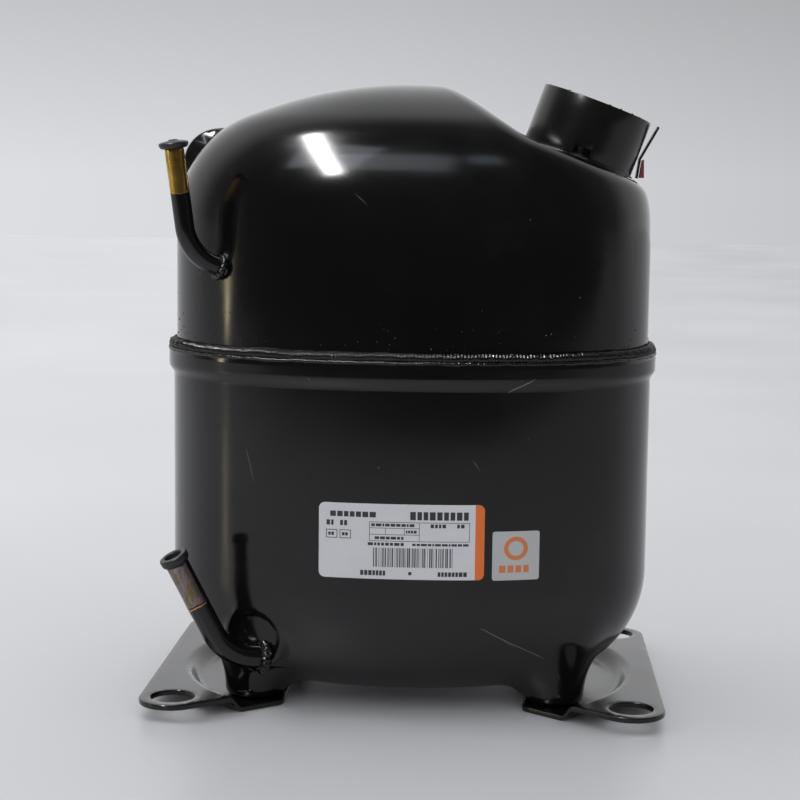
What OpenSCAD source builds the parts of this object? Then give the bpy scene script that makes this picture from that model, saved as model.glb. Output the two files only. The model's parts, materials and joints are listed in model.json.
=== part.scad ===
// Hermetic reciprocating compressor: a welded steel shell on two base plates,
// with a spring-hung motor (on top) and a one-cylinder pump (below) inside it.
// Origin: centre of the four mounting holes, on the plane the base rests on.
// +Z up, the label faces -Y, the terminal box is at +X.

/* [Shell] */
// Length of the lower shell, along X
shell_l = 222; // [218:1:226]
// Width of the lower shell, along Y
shell_w = 145; // [142:1:148]
// Sheet thickness of both shells
shell_t = 3; // [2.6:0.1:3.2]
// Height of the top of the dome
dome_z = 281; // [279:1:284]
// Lowest point of the shell's bottom
bottom_z = 2.6; // [2.5:0.1:4]
// Height of the lower shell's rim
seam_z = 159.5; // [157:0.5:162]
// How far the rim is joggled out from the lower wall
rim_step = 2.3; // [2:0.1:2.6]
// How much the upper shell is smaller than the lower, each side
upper_step = 1.4; // [1.2:0.1:1.6]
// Squareness of the shell's plan: 2 is an ellipse, more is squarer
plan_n = 2.25; // [2.1:0.05:2.4]
// Segments round the shell
shell_seg = 64; // [48:8:72]

/* [Base] */
// Mounting hole spacing along X
hole_sx = 203.2; // [202:0.2:204]
// Mounting hole spacing along Y
hole_sy = 134; // [132:1:136]
// Mounting hole diameter
hole_d = 19.6; // [16:0.2:20]
// Sheet thickness of the base plates
plate_t = 2.5; // [2:0.25:3]
// Depth of the dish that the shell stands in
dish_depth = 5.5; // [4:0.5:6]

/* [Terminal box] */
// Inside of the round fence, outer diameter
fence_d = 52; // [50:0.5:53]
// Height of the fence
fence_h = 27; // [22:1:30]
// Tilt of the fence towards +X
fence_tilt = 20; // [18:0.5:21]

/* [Tubes] */
// Outside diameter of the process tube
process_d = 8.5; // [8:0.25:9.5]
// Outside diameter of the discharge tube
discharge_d = 10.2; // [9.5:0.1:10.5]
// Outside diameter of the suction tube
suction_d = 14; // [13:0.5:15]

/* [Pump and motor] */
// Cylinder bore
bore_d = 44; // [42:0.5:44]
// Piston stroke
stroke = 21.5; // [20:0.5:21.5]
// Distance between the rod's two bores
rod_l = 48; // [47:0.5:48]
// Length of the stator's lamination stack
stack_h = 60; // [54:1:64]

/* [Hidden] */
// Overlap of joined shapes, and a running clearance
EPS = 0.01;
FIT = 0.04;

// ---- Shell ----
a_low = shell_l / 2;
b_low = shell_w / 2;
a_up = a_low - upper_step;
b_up = b_low - upper_step - 0.2;
a_rim = a_low + rim_step;
// Radii of the crown and of the corner below it
top_r = 205;
top_corner = 52;
floor_r = 400;
floor_corner = 50;
joggle_z0 = seam_z - 12.5;
joggle_z1 = seam_z - 7;
skirt_z = seam_z - 6;
bead_r = 2.7;

// ---- Terminal box ----
fence_t = 1.6;
facet_pos = [75, 0, 248];
facet_flat_u = fence_d / 2 + 1;
facet_rise = 0.35;
facet_blend = 2;
terminal_r = 16.5;
pin_circle_r = 8.5;
term_pin_r = 1.6;
pin_core_r = 1;
glass_top = 2;
bead_hole_r = 3.2;
clip_pos = [102.4, 0, 239.9];
clip_w = 7;

// ---- Shell embosses ----
pad_x = 69;
pad_y = 38.5;
pad_r = 12.5;
pad_top = 36;
boss_pos = [-98.5, 40, 243.5];
boss_turn = 12;
boss_r = 17;
boss_l = 33;
suction_l = 26;
suction_ring = 1.5;
pocket_pos = [-66, -56.5, 33];
pocket_turn = 17;
pocket_r = 13;

// ---- Base plates ----
hole_x = hole_sx / 2;
hole_y = hole_sy / 2;
plate_top = dish_depth + plate_t;
plate_corner_r = 15;
plate_in_x = 60;
plate_in_y = 46;
dish_x = 15.5;
dish_r = 84;
dish_slope = 5;

// ---- Tubes: first elevation, straight, bend radius, last elevation, straight ----
process_root = [-82, -50, 198];
process_turn = 30;
process_path = [20, 4, 21, 82, 34];
discharge_root = [-60.5, -54.8, 24];
discharge_turn = 25;
discharge_path = [5, 7, 23, 63, 36.5];
tube_wall = 1;
// Where a straight runs on into the bend, and how much thinner the bend is
bend_lap = 0.5;
bend_thin = 0.05;

// ---- Pump and motor, all about the crank's axis ----
crank_x = -18;
throw = stroke / 2;
bore_z = 52;
bore_r = bore_d / 2;
block_x0 = 30;
block_x1 = throw + rod_l + 13.4;
block_half = 28;
head_pcd = 22.5;
pin_r = 10;
pin_z0 = 36;
web_z0 = 76;
web_z1 = 85;
journal_r = 11;
deck_z0 = 86;
deck_z1 = 98;
hub_z = 146;
stator_z0 = 156;
stator_z1 = stator_z0 + stack_h;
stator_half = 56;
bolt_xy = 44;
rotor_r = 30;
air_gap = 0.5;
shaft_r = 10;
ring_h = 8;
web_r = 17;
sweep_r = 27;
plug_r = 3;
rod_h = 13.6;
port_x = 9;
reed_root = 19;
reed_t = 0.3;
reed_gap = 0.05;
muffler_pos = [22, -42, 36];
stud_r = 5;
coil_r = 7.4;
spring_z0 = 5.6;
spring_z1 = 48;
gasket_t = 1;
valve_t = 5;
head_t = 14;
wrist_r = 5;
wrist_l = 26;
wrist_slot = wrist_r + 0.05;
valve_z0 = block_x1 + gasket_t;

// ================= Functions =================

// A point of the shell's plan at angle t, for half-sizes a and b
function plan(a, b, t) = [
  a * sign(cos(t)) * pow(abs(cos(t)), 2 / plan_n),
  b * sign(sin(t)) * pow(abs(sin(t)), 2 / plan_n)
];

// Where the front or back wall stands at x
function wall_y(a, b, x) = b * pow(1 - pow(abs(x) / a, plan_n), 1 / plan_n);

// Smaller of two heights, with a rounded change between them
function soft_min(p, q, k) =
  let (m = min(p, q)) m - k * ln(exp((m - p) / k) + exp((m - q) / k));

// Profile [x, z] from the pole to the wall: a crown arc, then a corner arc.
// dir is +1 for the dome and -1 for the bottom; off moves it into the shell.
function cap_profile(a, pole, crown, corner, dir, off, n_crown, n_corner) =
  let (
    al = asin((a - corner) / (crown - corner)),
    zc = pole - dir * crown,
    x2 = (crown - corner) * sin(al),
    z2 = zc + dir * (crown - corner) * cos(al)
  ) concat(
    [for (i = [1:n_crown])
      let (t = al * i / n_crown)
      [(crown - off) * sin(t), zc + dir * (crown - off) * cos(t)]],
    [for (i = [1:n_corner])
      let (t = al + (90 - al) * i / n_corner)
      [x2 + (corner - off) * sin(t), z2 + dir * (corner - off) * cos(t)]]
  );

// Height of the terminal facet at x: a plane that grows steeper uphill of the fence
function facet_z(x, drop) =
  let (u = (x - facet_pos[0]) / cos(fence_tilt))
    facet_pos[2] - drop - tan(fence_tilt) * (x - facet_pos[0])
    + facet_rise * max(0, -u - facet_flat_u);

function press_facet(p, drop) =
  p[0] < 0 ? p : [p[0], p[1], soft_min(p[2], facet_z(p[0], drop), facet_blend)];

// A ring of points for profile point q, where ratio is b / a
function ring(q, ratio) = [
  for (i = [0:shell_seg - 1])
    let (c = plan(q[0], q[0] * ratio, 360 * i / shell_seg)) [c[0], c[1], q[1]]
];

// Triangles between the rings of a closed skin with a pole at each end
function skin_faces(rings, n) = concat(
  [for (i = [0:n - 1]) [0, 1 + (i + 1) % n, 1 + i]],
  [for (j = [0:rings - 2], i = [0:n - 1])
    let (p = 1 + j * n, q = p + n, k = (i + 1) % n) [p + i, p + k, q + k]],
  [for (j = [0:rings - 2], i = [0:n - 1])
    let (p = 1 + j * n, q = p + n, k = (i + 1) % n) [p + i, q + k, q + i]],
  [for (i = [0:n - 1])
    let (p = 1 + (rings - 1) * n) [1 + rings * n, p + i, p + (i + 1) % n]]
);

// Triangles round a closed loop of n sections of m points
function loop_faces(n, m) = concat(
  [for (i = [0:n - 1], j = [0:m - 1])
    let (p = i * m, q = ((i + 1) % n) * m, k = (j + 1) % m) [p + j, q + j, q + k]],
  [for (i = [0:n - 1], j = [0:m - 1])
    let (p = i * m, q = ((i + 1) % n) * m, k = (j + 1) % m) [p + j, q + k, p + k]]
);

// Triangles of an open sweep of n sections of m points, with flat ends
function sweep_faces(n, m) = concat(
  [for (i = [0:n - 2], j = [0:m - 1])
    let (p = i * m, q = p + m, k = (j + 1) % m) [p + j, p + k, q + k]],
  [for (i = [0:n - 2], j = [0:m - 1])
    let (p = i * m, q = p + m, k = (j + 1) % m) [p + j, q + k, q + j]],
  [for (j = [1:m - 2]) [0, j + 1, j]],
  [for (j = [1:m - 2]) let (p = (n - 1) * m) [p, p + j, p + j + 1]]
);

function unit(v) = v / norm(v);

// A cubic through four control points
function bezier(c, t) =
  pow(1 - t, 3) * c[0] + 3 * t * pow(1 - t, 2) * c[1]
  + 3 * t * t * (1 - t) * c[2] + pow(t, 3) * c[3];

// ================= Shared shapes =================

// A closed solid under one skin: a pole, rings of the profile, a flat end
module skin_solid(profile, ratio, pole, end_z, up, drop) {
  rings = [for (q = profile) [for (p = ring(q, ratio)) press_facet(p, drop)]];
  pts = concat([[0, 0, pole]], [for (r = rings, p = r) p], [[0, 0, end_z]]);
  faces = skin_faces(len(rings), shell_seg);
  polyhedron(pts, up ? faces : [for (f = faces) [f[0], f[2], f[1]]], convexity = 10);
}

// A round bar along a list of points
module bar_along(path, r, m) {
  n = len(path);
  pts = [
    for (i = [0:n - 1])
      let (
        d = unit(path[min(i + 1, n - 1)] - path[max(i - 1, 0)]),
        s = abs(d[2]) > 0.9 ? [1, 0, 0] : [0, 0, 1],
        u = unit(cross(s, d)),
        v = cross(d, u)
      ) for (j = [0:m - 1]) path[i] + r * (cos(360 * j / m) * u + sin(360 * j / m) * v)
  ];
  polyhedron(pts, sweep_faces(n, m), convexity = 10);
}

// Puts its children at a tube's root, with X leading away from the shell
module at_root(root, turn) {
  translate(root) rotate([0, 0, 180 + turn]) children();
}

// Moves its children to the far end of the bent tube
module at_tube_end(path) {
  e0 = path[0];
  e1 = path[3];
  rotate([0, -e0, 0]) translate([path[1], 0, 0])
    translate([path[2] * sin(e1 - e0), 0, path[2] * (1 - cos(e1 - e0))])
      rotate([0, -(e1 - e0), 0]) rotate([0, 90, 0]) children();
}

// Straight, bend and straight again, of radius r; the ends pass by z0 and extra
module bent_rod(path, r, extra, z0) {
  e0 = path[0];
  e1 = path[3];
  rotate([0, -e0, 0]) {
    translate([-z0, 0, 0]) rotate([0, 90, 0]) cylinder(h = path[1] + z0 + bend_lap, r = r, $fn = 48);
    translate([path[1], 0, path[2]]) rotate([90, 0, 0])
      rotate_extrude(angle = e1 - e0, start = -90, $fn = 96)
        translate([path[2], 0]) circle(r = r - bend_thin, $fn = 48);
  }
  at_tube_end(path) translate([0, 0, -bend_lap])
    cylinder(h = path[4] + extra + bend_lap, r = r, $fn = 48);
}

// A hollow bent tube, from z0 inside the shell to its open end
module bent_tube(path, d, z0) {
  difference() {
    bent_rod(path, d / 2, 0, z0);
    bent_rod(path, d / 2 - tube_wall, 1, z0 + 1);
  }
}

// A flanged push-in plug: collar outside the tube's end, skirt inside it
module tube_plug(d, flange_d, flange_h, skirt) {
  difference() {
    union() {
      cylinder(h = flange_h * 0.6, d1 = flange_d * 0.88, d2 = flange_d, $fn = 64);
      translate([0, 0, flange_h * 0.6]) cylinder(h = flange_h * 0.4, d = flange_d, $fn = 64);
      translate([0, 0, -skirt]) cylinder(h = skirt + EPS, r = d / 2 - tube_wall - FIT, $fn = 48);
    }
    translate([0, 0, flange_h - 1.2]) cylinder(h = 2, d = d - 2, $fn = 48);
  }
}

// One coil spring standing on z = 0
module coil(r, wire, height, turns) {
  steps = 12;
  bar_along(
    [for (i = [0:turns * steps])
      [r * cos(360 * i / steps), r * sin(360 * i / steps),
        wire + (height - 2 * wire) * i / (turns * steps)]],
    wire, 5
  );
}

module hex_bolt(r, length, head_r, head_h) {
  cylinder(h = head_h, r = head_r, $fn = 6);
  translate([0, 0, -length]) cylinder(h = length + EPS, r = r, $fn = 32);
}

module at_facet() {
  translate(facet_pos) rotate([0, fence_tilt, 0]) children();
}

module at_pads() {
  for (sx = [-1, 1], sy = [-1, 1]) translate([sx * pad_x, sy * pad_y, 0]) children();
}

module at_pillars() {
  for (sx = [-1, 1], sy = [-1, 1]) translate([crank_x + sx * bolt_xy, sy * bolt_xy, 0]) children();
}

// ================= Shell =================

// The pressed feet: cones below the shell's bottom corners
module pad_cones(off, z0) {
  at_pads() translate([0, 0, z0])
    cylinder(h = pad_top - z0, r1 = pad_r - off, r2 = pad_r + 1 - off, $fn = 48);
}

module at_pocket() {
  translate(pocket_pos) rotate([0, 0, 180 + 90 - pocket_turn]) rotate([0, 90, 0]) children();
}

module lower_shell() {
  outer = concat(
    cap_profile(a_low, bottom_z, floor_r, floor_corner, -1, 0, 5, 6),
    [[a_low, joggle_z0], [a_rim - 0.6, joggle_z1 - 1.5], [a_rim, joggle_z1], [a_rim, seam_z]]
  );
  inner = concat(
    cap_profile(a_low, bottom_z, floor_r, floor_corner, -1, shell_t, 5, 6),
    [[a_low - shell_t, joggle_z0 + 1], [a_rim - shell_t, joggle_z1 + 1], [a_rim - shell_t, seam_z + 1]]
  );
  color("#151515") difference() {
    union() {
      skin_solid(outer, b_low / a_low, bottom_z, seam_z, false, 0);
      pad_cones(0, plate_t);
      at_pocket() translate([0, 0, -12]) cylinder(h = 13.5, r = pocket_r + 1.5, $fn = 64);
    }
    union() {
      skin_solid(inner, (b_low - shell_t) / (a_low - shell_t), bottom_z + shell_t, seam_z + 1, false, 0);
      pad_cones(shell_t, plate_t + shell_t);
    }
    at_pocket() cylinder(h = 20, r = pocket_r - 1.5, $fn = 64);
    at_root(discharge_root, discharge_turn) rotate([0, 90 - discharge_path[0], 0])
      translate([0, 0, -20]) cylinder(h = 36, d = discharge_d + 2 * FIT, $fn = 48);
  }
}

module upper_shell() {
  outer = concat(
    cap_profile(a_up, dome_z, top_r, top_corner, 1, 0, 7, 8),
    [[a_up, skirt_z]]
  );
  inner = concat(
    cap_profile(a_up, dome_z, top_r, top_corner, 1, shell_t, 7, 8),
    [[a_up - shell_t, skirt_z - 1]]
  );
  color("#141414") difference() {
    union() {
      skin_solid(outer, b_up / a_up, dome_z, skirt_z, true, 0);
      at_boss() translate([0, 0, -boss_l]) cylinder(h = boss_l, r = boss_r, $fn = 96);
    }
    union() {
      skin_solid(inner, (b_up - shell_t) / (a_up - shell_t), dome_z - shell_t, skirt_z - 1, true,
        shell_t / cos(fence_tilt));
      at_boss() translate([0, 0, shell_t - boss_l])
        cylinder(h = boss_l - 2 * shell_t, r = boss_r - shell_t, $fn = 96);
    }
    at_boss() translate([0, 0, -boss_l / 2]) cylinder(h = boss_l, d = suction_d + 2 * FIT, $fn = 48);
    at_facet() translate([0, 0, -10]) cylinder(h = 20, r = terminal_r, $fn = 96);
    at_root(process_root, process_turn) rotate([0, 90 - process_path[0], 0])
      translate([0, 0, -16]) cylinder(h = 26, d = process_d + 2 * FIT, $fn = 48);
  }
}

// The round boss at the rear left shoulder, Z leading out of its flat face
module at_boss() {
  translate(boss_pos) rotate([0, 0, boss_turn]) rotate([-90, 0, 0]) children();
}

// Rough fillet of weld metal all round the seam
module weld_bead() {
  n = 120;
  m = 6;
  pts = [
    for (i = [0:n - 1])
      let (
        t = 360 * i / n,
        r = bead_r * (1 + 0.1 * sin(17 * t) + 0.07 * sin(41 * t + 30)),
        c = plan(1, 1, t),
        d = unit([c[0] / a_up, c[1] / b_up])
      ) for (j = [0:m - 1])
        let (w = 360 * j / m + 30)
        [a_up * c[0] + d[0] * (1.2 + r * cos(w)), b_up * c[1] + d[1] * (1.2 + r * cos(w)),
          seam_z + 2 + r * sin(w)]
  ];
  color("#242321") polyhedron(pts, loop_faces(n, m), convexity = 10);
}

// ================= Base plates =================

// Plan of one plate: wide outer edge with a hole at each end
module plate_plan() {
  hull() {
    for (sy = [-1, 1]) {
      translate([hole_x, sy * hole_y]) circle(r = plate_corner_r, $fn = 64);
      translate([plate_in_x, sy * plate_in_y]) circle(r = 6, $fn = 32);
    }
  }
}

// A plate on the +X side, dished where the shell stands in it
module base_plate() {
  difference() {
    union() {
      translate([0, 0, dish_depth]) linear_extrude(plate_t) difference() {
        plate_plan();
        translate([dish_x, 0]) circle(r = dish_r + dish_slope - 0.5, $fn = 180);
      }
      linear_extrude(plate_t) intersection() {
        plate_plan();
        translate([dish_x, 0]) circle(r = dish_r + 0.5, $fn = 180);
      }
      intersection() {
        linear_extrude(plate_top) plate_plan();
        translate([dish_x, 0, 0]) rotate_extrude($fn = 180) polygon([
          [dish_r, 0], [dish_r + 1.5, 0], [dish_r + dish_slope, dish_depth],
          [dish_r + dish_slope, plate_top], [dish_r + dish_slope - 1.5, plate_top], [dish_r, plate_t]
        ]);
      }
    }
    for (sy = [-1, 1]) translate([hole_x, sy * hole_y, -1])
      cylinder(h = plate_top + 2, d = hole_d, $fn = 64);
  }
}

module base_plate_right() {
  color("#55565a") base_plate();
}

module base_plate_left() {
  color("#55565a") mirror([1, 0, 0]) base_plate();
}

// ================= Terminals =================

module terminal_fence() {
  notch_w = 9;
  notch_h = 5;
  color("#161512") at_facet() difference() {
    translate([0, 0, -0.6]) cylinder(h = fence_h + 0.6, d = fence_d, $fn = 128);
    translate([0, 0, -2]) cylinder(h = fence_h + 4, d = fence_d - 2 * fence_t, $fn = 128);
    translate([-notch_w / 2, -fence_d / 2 - 1, -1]) cube([notch_w, 6, notch_h + 1]);
    translate([-notch_w / 2, fence_d / 2 - 5, fence_h - notch_h]) cube([notch_w, 6, notch_h + 1]);
  }
}

module at_terminals() {
  for (i = [0:2]) rotate([0, 0, 90 + 120 * i]) translate([pin_circle_r, 0, 0]) children();
}

module terminal_body() {
  color("#8a8880") at_facet() difference() {
    union() {
      translate([0, 0, -4.5]) cylinder(h = 6.5, r = terminal_r, $fn = 96);
      translate([0, 0, -4.5]) cylinder(h = 1.5, r = terminal_r + 2.5, $fn = 96);
    }
    at_terminals() translate([0, 0, -6]) cylinder(h = 10, r = bead_hole_r, $fn = 32);
    translate([0, 0, 0.5]) cylinder(h = 3, r = terminal_r - 2.5, $fn = 96);
  }
}

module terminal_glass() {
  color("#3c6e5a") at_facet() at_terminals() difference() {
    translate([0, 0, -4]) cylinder(h = glass_top + 4, r = bead_hole_r, $fn = 32);
    translate([0, 0, -5]) cylinder(h = 8, r = pin_core_r, $fn = 32);
  }
}

// Each pin is a core through the glass, with a stud of full size above it
module terminal_pins() {
  stud_z = glass_top + 0.2;
  color("#b9b4a6") at_facet() at_terminals() {
    translate([0, 0, -14]) cylinder(h = 14 + stud_z + EPS, r = pin_core_r, $fn = 32);
    translate([0, 0, stud_z]) cylinder(h = 14 - stud_z, r = term_pin_r, $fn = 32);
  }
}

// Spring strip that snaps over the terminal cover, standing beside the fence
module cover_clip() {
  color("#2a2a2c") translate([clip_pos[0], 0, clip_pos[2]]) rotate([90, 0, 0])
    linear_extrude(clip_w, center = true)
      polygon([
        [-0.5, -0.6], [0.5, -0.6], [1.8, 8], [9.9, 22.4], [9.1, 23.1], [0.9, 8.4]
      ]);
}

module clip_sleeve() {
  color("#8c2f22") translate([clip_pos[0] + 1.2, 0, clip_pos[2] - 0.4]) rotate([90, 0, 0])
    linear_extrude(clip_w - 1.5, center = true) polygon([[0, 0], [2.2, 0], [2, 8.4], [1.2, 8]]);
}

// ================= Tubes =================

module process_tube() {
  color("#b08d3a") at_root(process_root, process_turn) bent_tube(process_path, process_d, 8);
}

module process_plug() {
  color("#1b1b1f") at_root(process_root, process_turn) at_tube_end(process_path)
    translate([0, 0, process_path[4]]) tube_plug(process_d, 13.2, 4, 7);
}

module discharge_tube() {
  color("#8a6a48") at_root(discharge_root, discharge_turn) bent_tube(discharge_path, discharge_d, 12);
}

module discharge_plug() {
  color("#1b1b1f") at_root(discharge_root, discharge_turn) at_tube_end(discharge_path)
    translate([0, 0, discharge_path[4]]) tube_plug(discharge_d, 13, 4, 7);
}

// The stub starts inside the boss, and a ring of braze seals it to the boss
module suction_tube() {
  color("#8a6a48") at_boss() difference() {
    union() {
      translate([0, 0, -5]) cylinder(h = 5 + EPS, d = suction_d - 0.1, $fn = 64);
      cylinder(h = suction_ring, d = suction_d + 2.4, $fn = 64);
      cylinder(h = suction_l, d = suction_d, $fn = 64);
    }
    translate([0, 0, -6]) cylinder(h = suction_l + 7, d = suction_d - 2 * tube_wall, $fn = 64);
  }
}

module suction_plug() {
  color("#1b1b1f") at_boss() translate([0, 0, suction_l]) tube_plug(suction_d, suction_d + 4, 4, 8);
}

// ================= Labels =================

// A thin sheet on the shell's front wall, from x0 to x1 and z0 to z1
module front_sheet(x0, x1, z0, z1, corner, thick) {
  steps = 24;
  xs = [for (i = [0:steps]) x0 + (x1 - x0) * i / steps];
  intersection() {
    translate([0, 0, z0 - 1]) linear_extrude(z1 - z0 + 2) polygon(concat(
      [for (x = xs) [x, -wall_y(a_low, b_low, x) - thick]],
      [for (i = [steps:-1:0]) [xs[i], -wall_y(a_low, b_low, xs[i]) - 0.02]]
    ));
    translate([0, -b_low + 15, 0]) rotate([90, 0, 0]) linear_extrude(30) {
      translate([x0 + corner, z0]) square([x1 - x0 - 2 * corner, z1 - z0]);
      translate([x0, z0 + corner]) square([x1 - x0, z1 - z0 - 2 * corner]);
      for (x = [x0 + corner, x1 - corner], z = [z0 + corner, z1 - corner])
        translate([x, z]) circle(r = corner, $fn = 32);
    }
  }
}

module nameplate() {
  color("white") front_sheet(-36.3, 36, 64.6, 97.8, 2.5, 0.25);
}

module refrigerant_sticker() {
  color("#b9bab6") front_sheet(39.5, 60, 64.3, 86, 0.6, 0.25);
}

// ================= Suspension =================

module spring_studs() {
  color("#77766f") at_pads() translate([0, 0, plate_t + shell_t]) cylinder(h = 11, r = stud_r, $fn = 32);
}

module suspension_springs() {
  color("#8f8f8c") at_pads() translate([0, 0, spring_z0]) coil(coil_r, 1.1, spring_z1 - spring_z0, 5);
}

// ================= Pump =================

// Puts its children on the cylinder's axis: Z along the bore, crank at 0
module on_bore() {
  translate([crank_x, 0, bore_z]) rotate([0, 90, 0]) children();
}

// Plan of the cylinder's end: a square with round corners
module head_plan() {
  c = 6;
  s = block_half - c;
  square([2 * block_half, 2 * s], center = true);
  square([2 * s, 2 * block_half], center = true);
  for (x = [-s, s], y = [-s, s]) translate([x, y]) circle(r = c, $fn = 32);
}

module at_head_bolts() {
  for (x = [-head_pcd, head_pcd], y = [-head_pcd, head_pcd]) translate([x, y, 0]) children();
}

module crankcase() {
  color("#4b4a48") difference() {
    union() {
      translate([0, 0, deck_z0]) linear_extrude(deck_z1 - deck_z0) hull() {
        at_pillars() circle(r = 8, $fn = 32);
        at_pads() circle(r = 8, $fn = 32);
      }
      translate([crank_x, 0, deck_z0]) cylinder(h = hub_z - deck_z0, r = 19, $fn = 64);
      at_pillars() translate([0, 0, deck_z0]) cylinder(h = stator_z0 - deck_z0, r = 6, $fn = 32);
      at_pads() translate([0, 0, spring_z1]) cylinder(h = deck_z1 - spring_z1, r = 8, $fn = 32);
      at_pads() translate([0, 0, spring_z1 - 8]) cylinder(h = 9, r = stud_r, $fn = 32);
      on_bore() translate([0, 0, block_x0]) linear_extrude(block_x1 - block_x0) head_plan();
      translate([crank_x + block_x0, -18, bore_z + block_half - 6])
        cube([block_x1 - block_x0, 36, deck_z0 - bore_z - block_half + 8]);
    }
    on_bore() translate([0, 0, block_x0 - 20]) cylinder(h = 100, r = bore_r, $fn = 96);
    translate([crank_x, 0, 0]) cylinder(h = hub_z + 10, r = journal_r + FIT, $fn = 64);
    on_bore() at_head_bolts() translate([0, 0, block_x1 - 16]) cylinder(h = 20, r = 2.5, $fn = 32);
    at_pillars() translate([0, 0, stator_z0 - 30]) cylinder(h = 40, r = 2.5, $fn = 32);
  }
}

module head_gasket() {
  color("#3a4038") on_bore() translate([0, 0, block_x1]) linear_extrude(gasket_t) difference() {
    head_plan();
    circle(r = bore_r + 0.6, $fn = 96);
    at_head_bolts() circle(r = 2.7, $fn = 32);
  }
}

module valve_plate() {
  color("#9a9a98") on_bore() translate([0, 0, valve_z0]) linear_extrude(valve_t) difference() {
    head_plan();
    translate([-port_x, 0]) circle(r = 4, $fn = 32);
    translate([port_x, 0]) circle(r = 5, $fn = 32);
    at_head_bolts() circle(r = 2.7, $fn = 32);
  }
}

// A reed's outline: a tongue of length l whose root is at the origin
module reed_plan(l, w) {
  translate([0, -w / 2]) square([l - w / 2, w]);
  translate([l - w / 2, 0]) circle(r = w / 2, $fn = 32);
}

module suction_reed() {
  color("#6d7f92") on_bore() translate([reed_root, 0, valve_z0 - reed_t - reed_gap]) linear_extrude(reed_t)
    mirror([1, 0]) reed_plan(reed_root, 12);
}

module discharge_reed() {
  color("#6d7f92") on_bore() translate([-reed_root, 0, valve_z0 + valve_t + reed_gap])
    linear_extrude(reed_t) reed_plan(reed_root - 1.5, 10);
}

module cylinder_head() {
  color("#8e9092") on_bore() translate([0, 0, valve_z0 + valve_t]) difference() {
    linear_extrude(head_t) head_plan();
    translate([-20, -14, -1]) cube([20, 28, head_t - 3]);
    translate([3, -14, -1]) cube([17, 28, head_t - 3]);
    at_head_bolts() translate([0, 0, -1]) cylinder(h = head_t + 2, r = 2.7, $fn = 32);
  }
}

module head_bolts() {
  color("#3d3d40") on_bore() translate([0, 0, valve_z0 + valve_t + head_t]) at_head_bolts()
    hex_bolt(2.5, 16 + gasket_t + valve_t + head_t - 1, 4.6, 4);
}

module suction_muffler() {
  color("#d8d2c0") translate([16, block_half + 0.4, 32]) difference() {
    cube([38, 20, 42]);
    translate([2, 2, 2]) cube([34, 16, 30]);
    translate([6, -1, 34]) rotate([-90, 0, 0]) cylinder(h = 30, r = 4, $fn = 32);
  }
}

module discharge_muffler() {
  color("#6b6a66") translate([muffler_pos[0], muffler_pos[1], muffler_pos[2]]) difference() {
    cylinder(h = 38, r = 12.5, $fn = 64);
    translate([0, 0, 2]) cylinder(h = 34, r = 10.5, $fn = 64);
  }
}

// Soft discharge line from the muffler to the shell; its end stays just short of the tube
module shock_loop() {
  c = [
    [muffler_pos[0], muffler_pos[1], muffler_pos[2] - 0.2],
    [muffler_pos[0], muffler_pos[1], 16],
    [-30, -38, 21],
    [-48.2, -49.1, 22.9]
  ];
  color("#a5673f") bar_along([for (i = [0:20]) bezier(c, i / 20)], 2.4, 8);
}

// ================= Motor =================

module stator_core() {
  chamfer = 14;
  s = stator_half;
  slots = 24;
  color("#5a5d61") translate([crank_x, 0, stator_z0]) linear_extrude(stack_h) difference() {
    polygon([
      [s, chamfer - s], [s, s - chamfer], [s - chamfer, s], [chamfer - s, s],
      [-s, s - chamfer], [-s, chamfer - s], [chamfer - s, -s], [s - chamfer, -s]
    ]);
    circle(r = rotor_r + air_gap, $fn = 128);
    for (i = [0:slots - 1]) rotate([0, 0, 360 * (i + 0.5) / slots]) {
      translate([rotor_r, -0.9]) square([4, 1.8]);
      translate([rotor_r + 3, -1.8]) square([12, 3.6]);
    }
    for (x = [-bolt_xy, bolt_xy], y = [-bolt_xy, bolt_xy]) translate([x, y]) circle(r = 2.7, $fn = 32);
  }
}

module stator_winding() {
  slots = 24;
  ring = [[33, 0], [53, 0], [53, 17], [49, 23], [43, 25.5], [38, 23], [33, 17]];
  lift = 0.1;
  color("#a4552b") translate([crank_x, 0, 0]) {
    translate([0, 0, stator_z1 + lift]) rotate_extrude($fn = 96) polygon(ring);
    translate([0, 0, stator_z0 - lift]) mirror([0, 0, 1]) rotate_extrude($fn = 96) polygon(ring);
    for (i = [0:slots - 1]) rotate([0, 0, 360 * (i + 0.5) / slots])
      translate([rotor_r + 3.2, -1.6, stator_z0 - 1]) cube([11.6, 3.2, stack_h + 2]);
  }
}

module stator_bolts() {
  color("#3d3d40") at_pillars() translate([0, 0, stator_z1]) hex_bolt(2.5, stack_h + 28, 4.6, 4);
}

module rotor_core() {
  color("#676a6e") translate([crank_x, 0, stator_z0]) difference() {
    cylinder(h = stack_h, r = rotor_r, $fn = 128);
    translate([0, 0, -1]) cylinder(h = stack_h + 2, r = shaft_r, $fn = 64);
  }
}

module rotor_end_rings() {
  color("#b4b7ba") translate([crank_x, 0, 0]) for (z = [stator_z0 - ring_h, stator_z1])
    translate([0, 0, z]) difference() {
      cylinder(h = ring_h, r = rotor_r - 2, $fn = 96);
      translate([0, 0, -1]) cylinder(h = ring_h + 2, r = 15, $fn = 64);
    }
}

module lead_harness() {
  color("#8f1d1d") for (y = [-7, 0, 7])
    bar_along([for (i = [0:10]) bezier([
      [crank_x + 43, 1.4 * y, stator_z1 + 27.2], [crank_x + 52, y, stator_z1 + 34],
      [50, y, 230], [59.3, 0.5 * y, 228]
    ], i / 10)], 1.3, 6);
}

module cluster_plug() {
  color("#d6cfa8") at_facet() difference() {
    translate([0, 0, -22]) cylinder(h = 14, r = 13.5, $fn = 64);
    at_terminals() translate([0, 0, -16]) cylinder(h = 10, r = pin_core_r, $fn = 32);
  }
}

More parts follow.
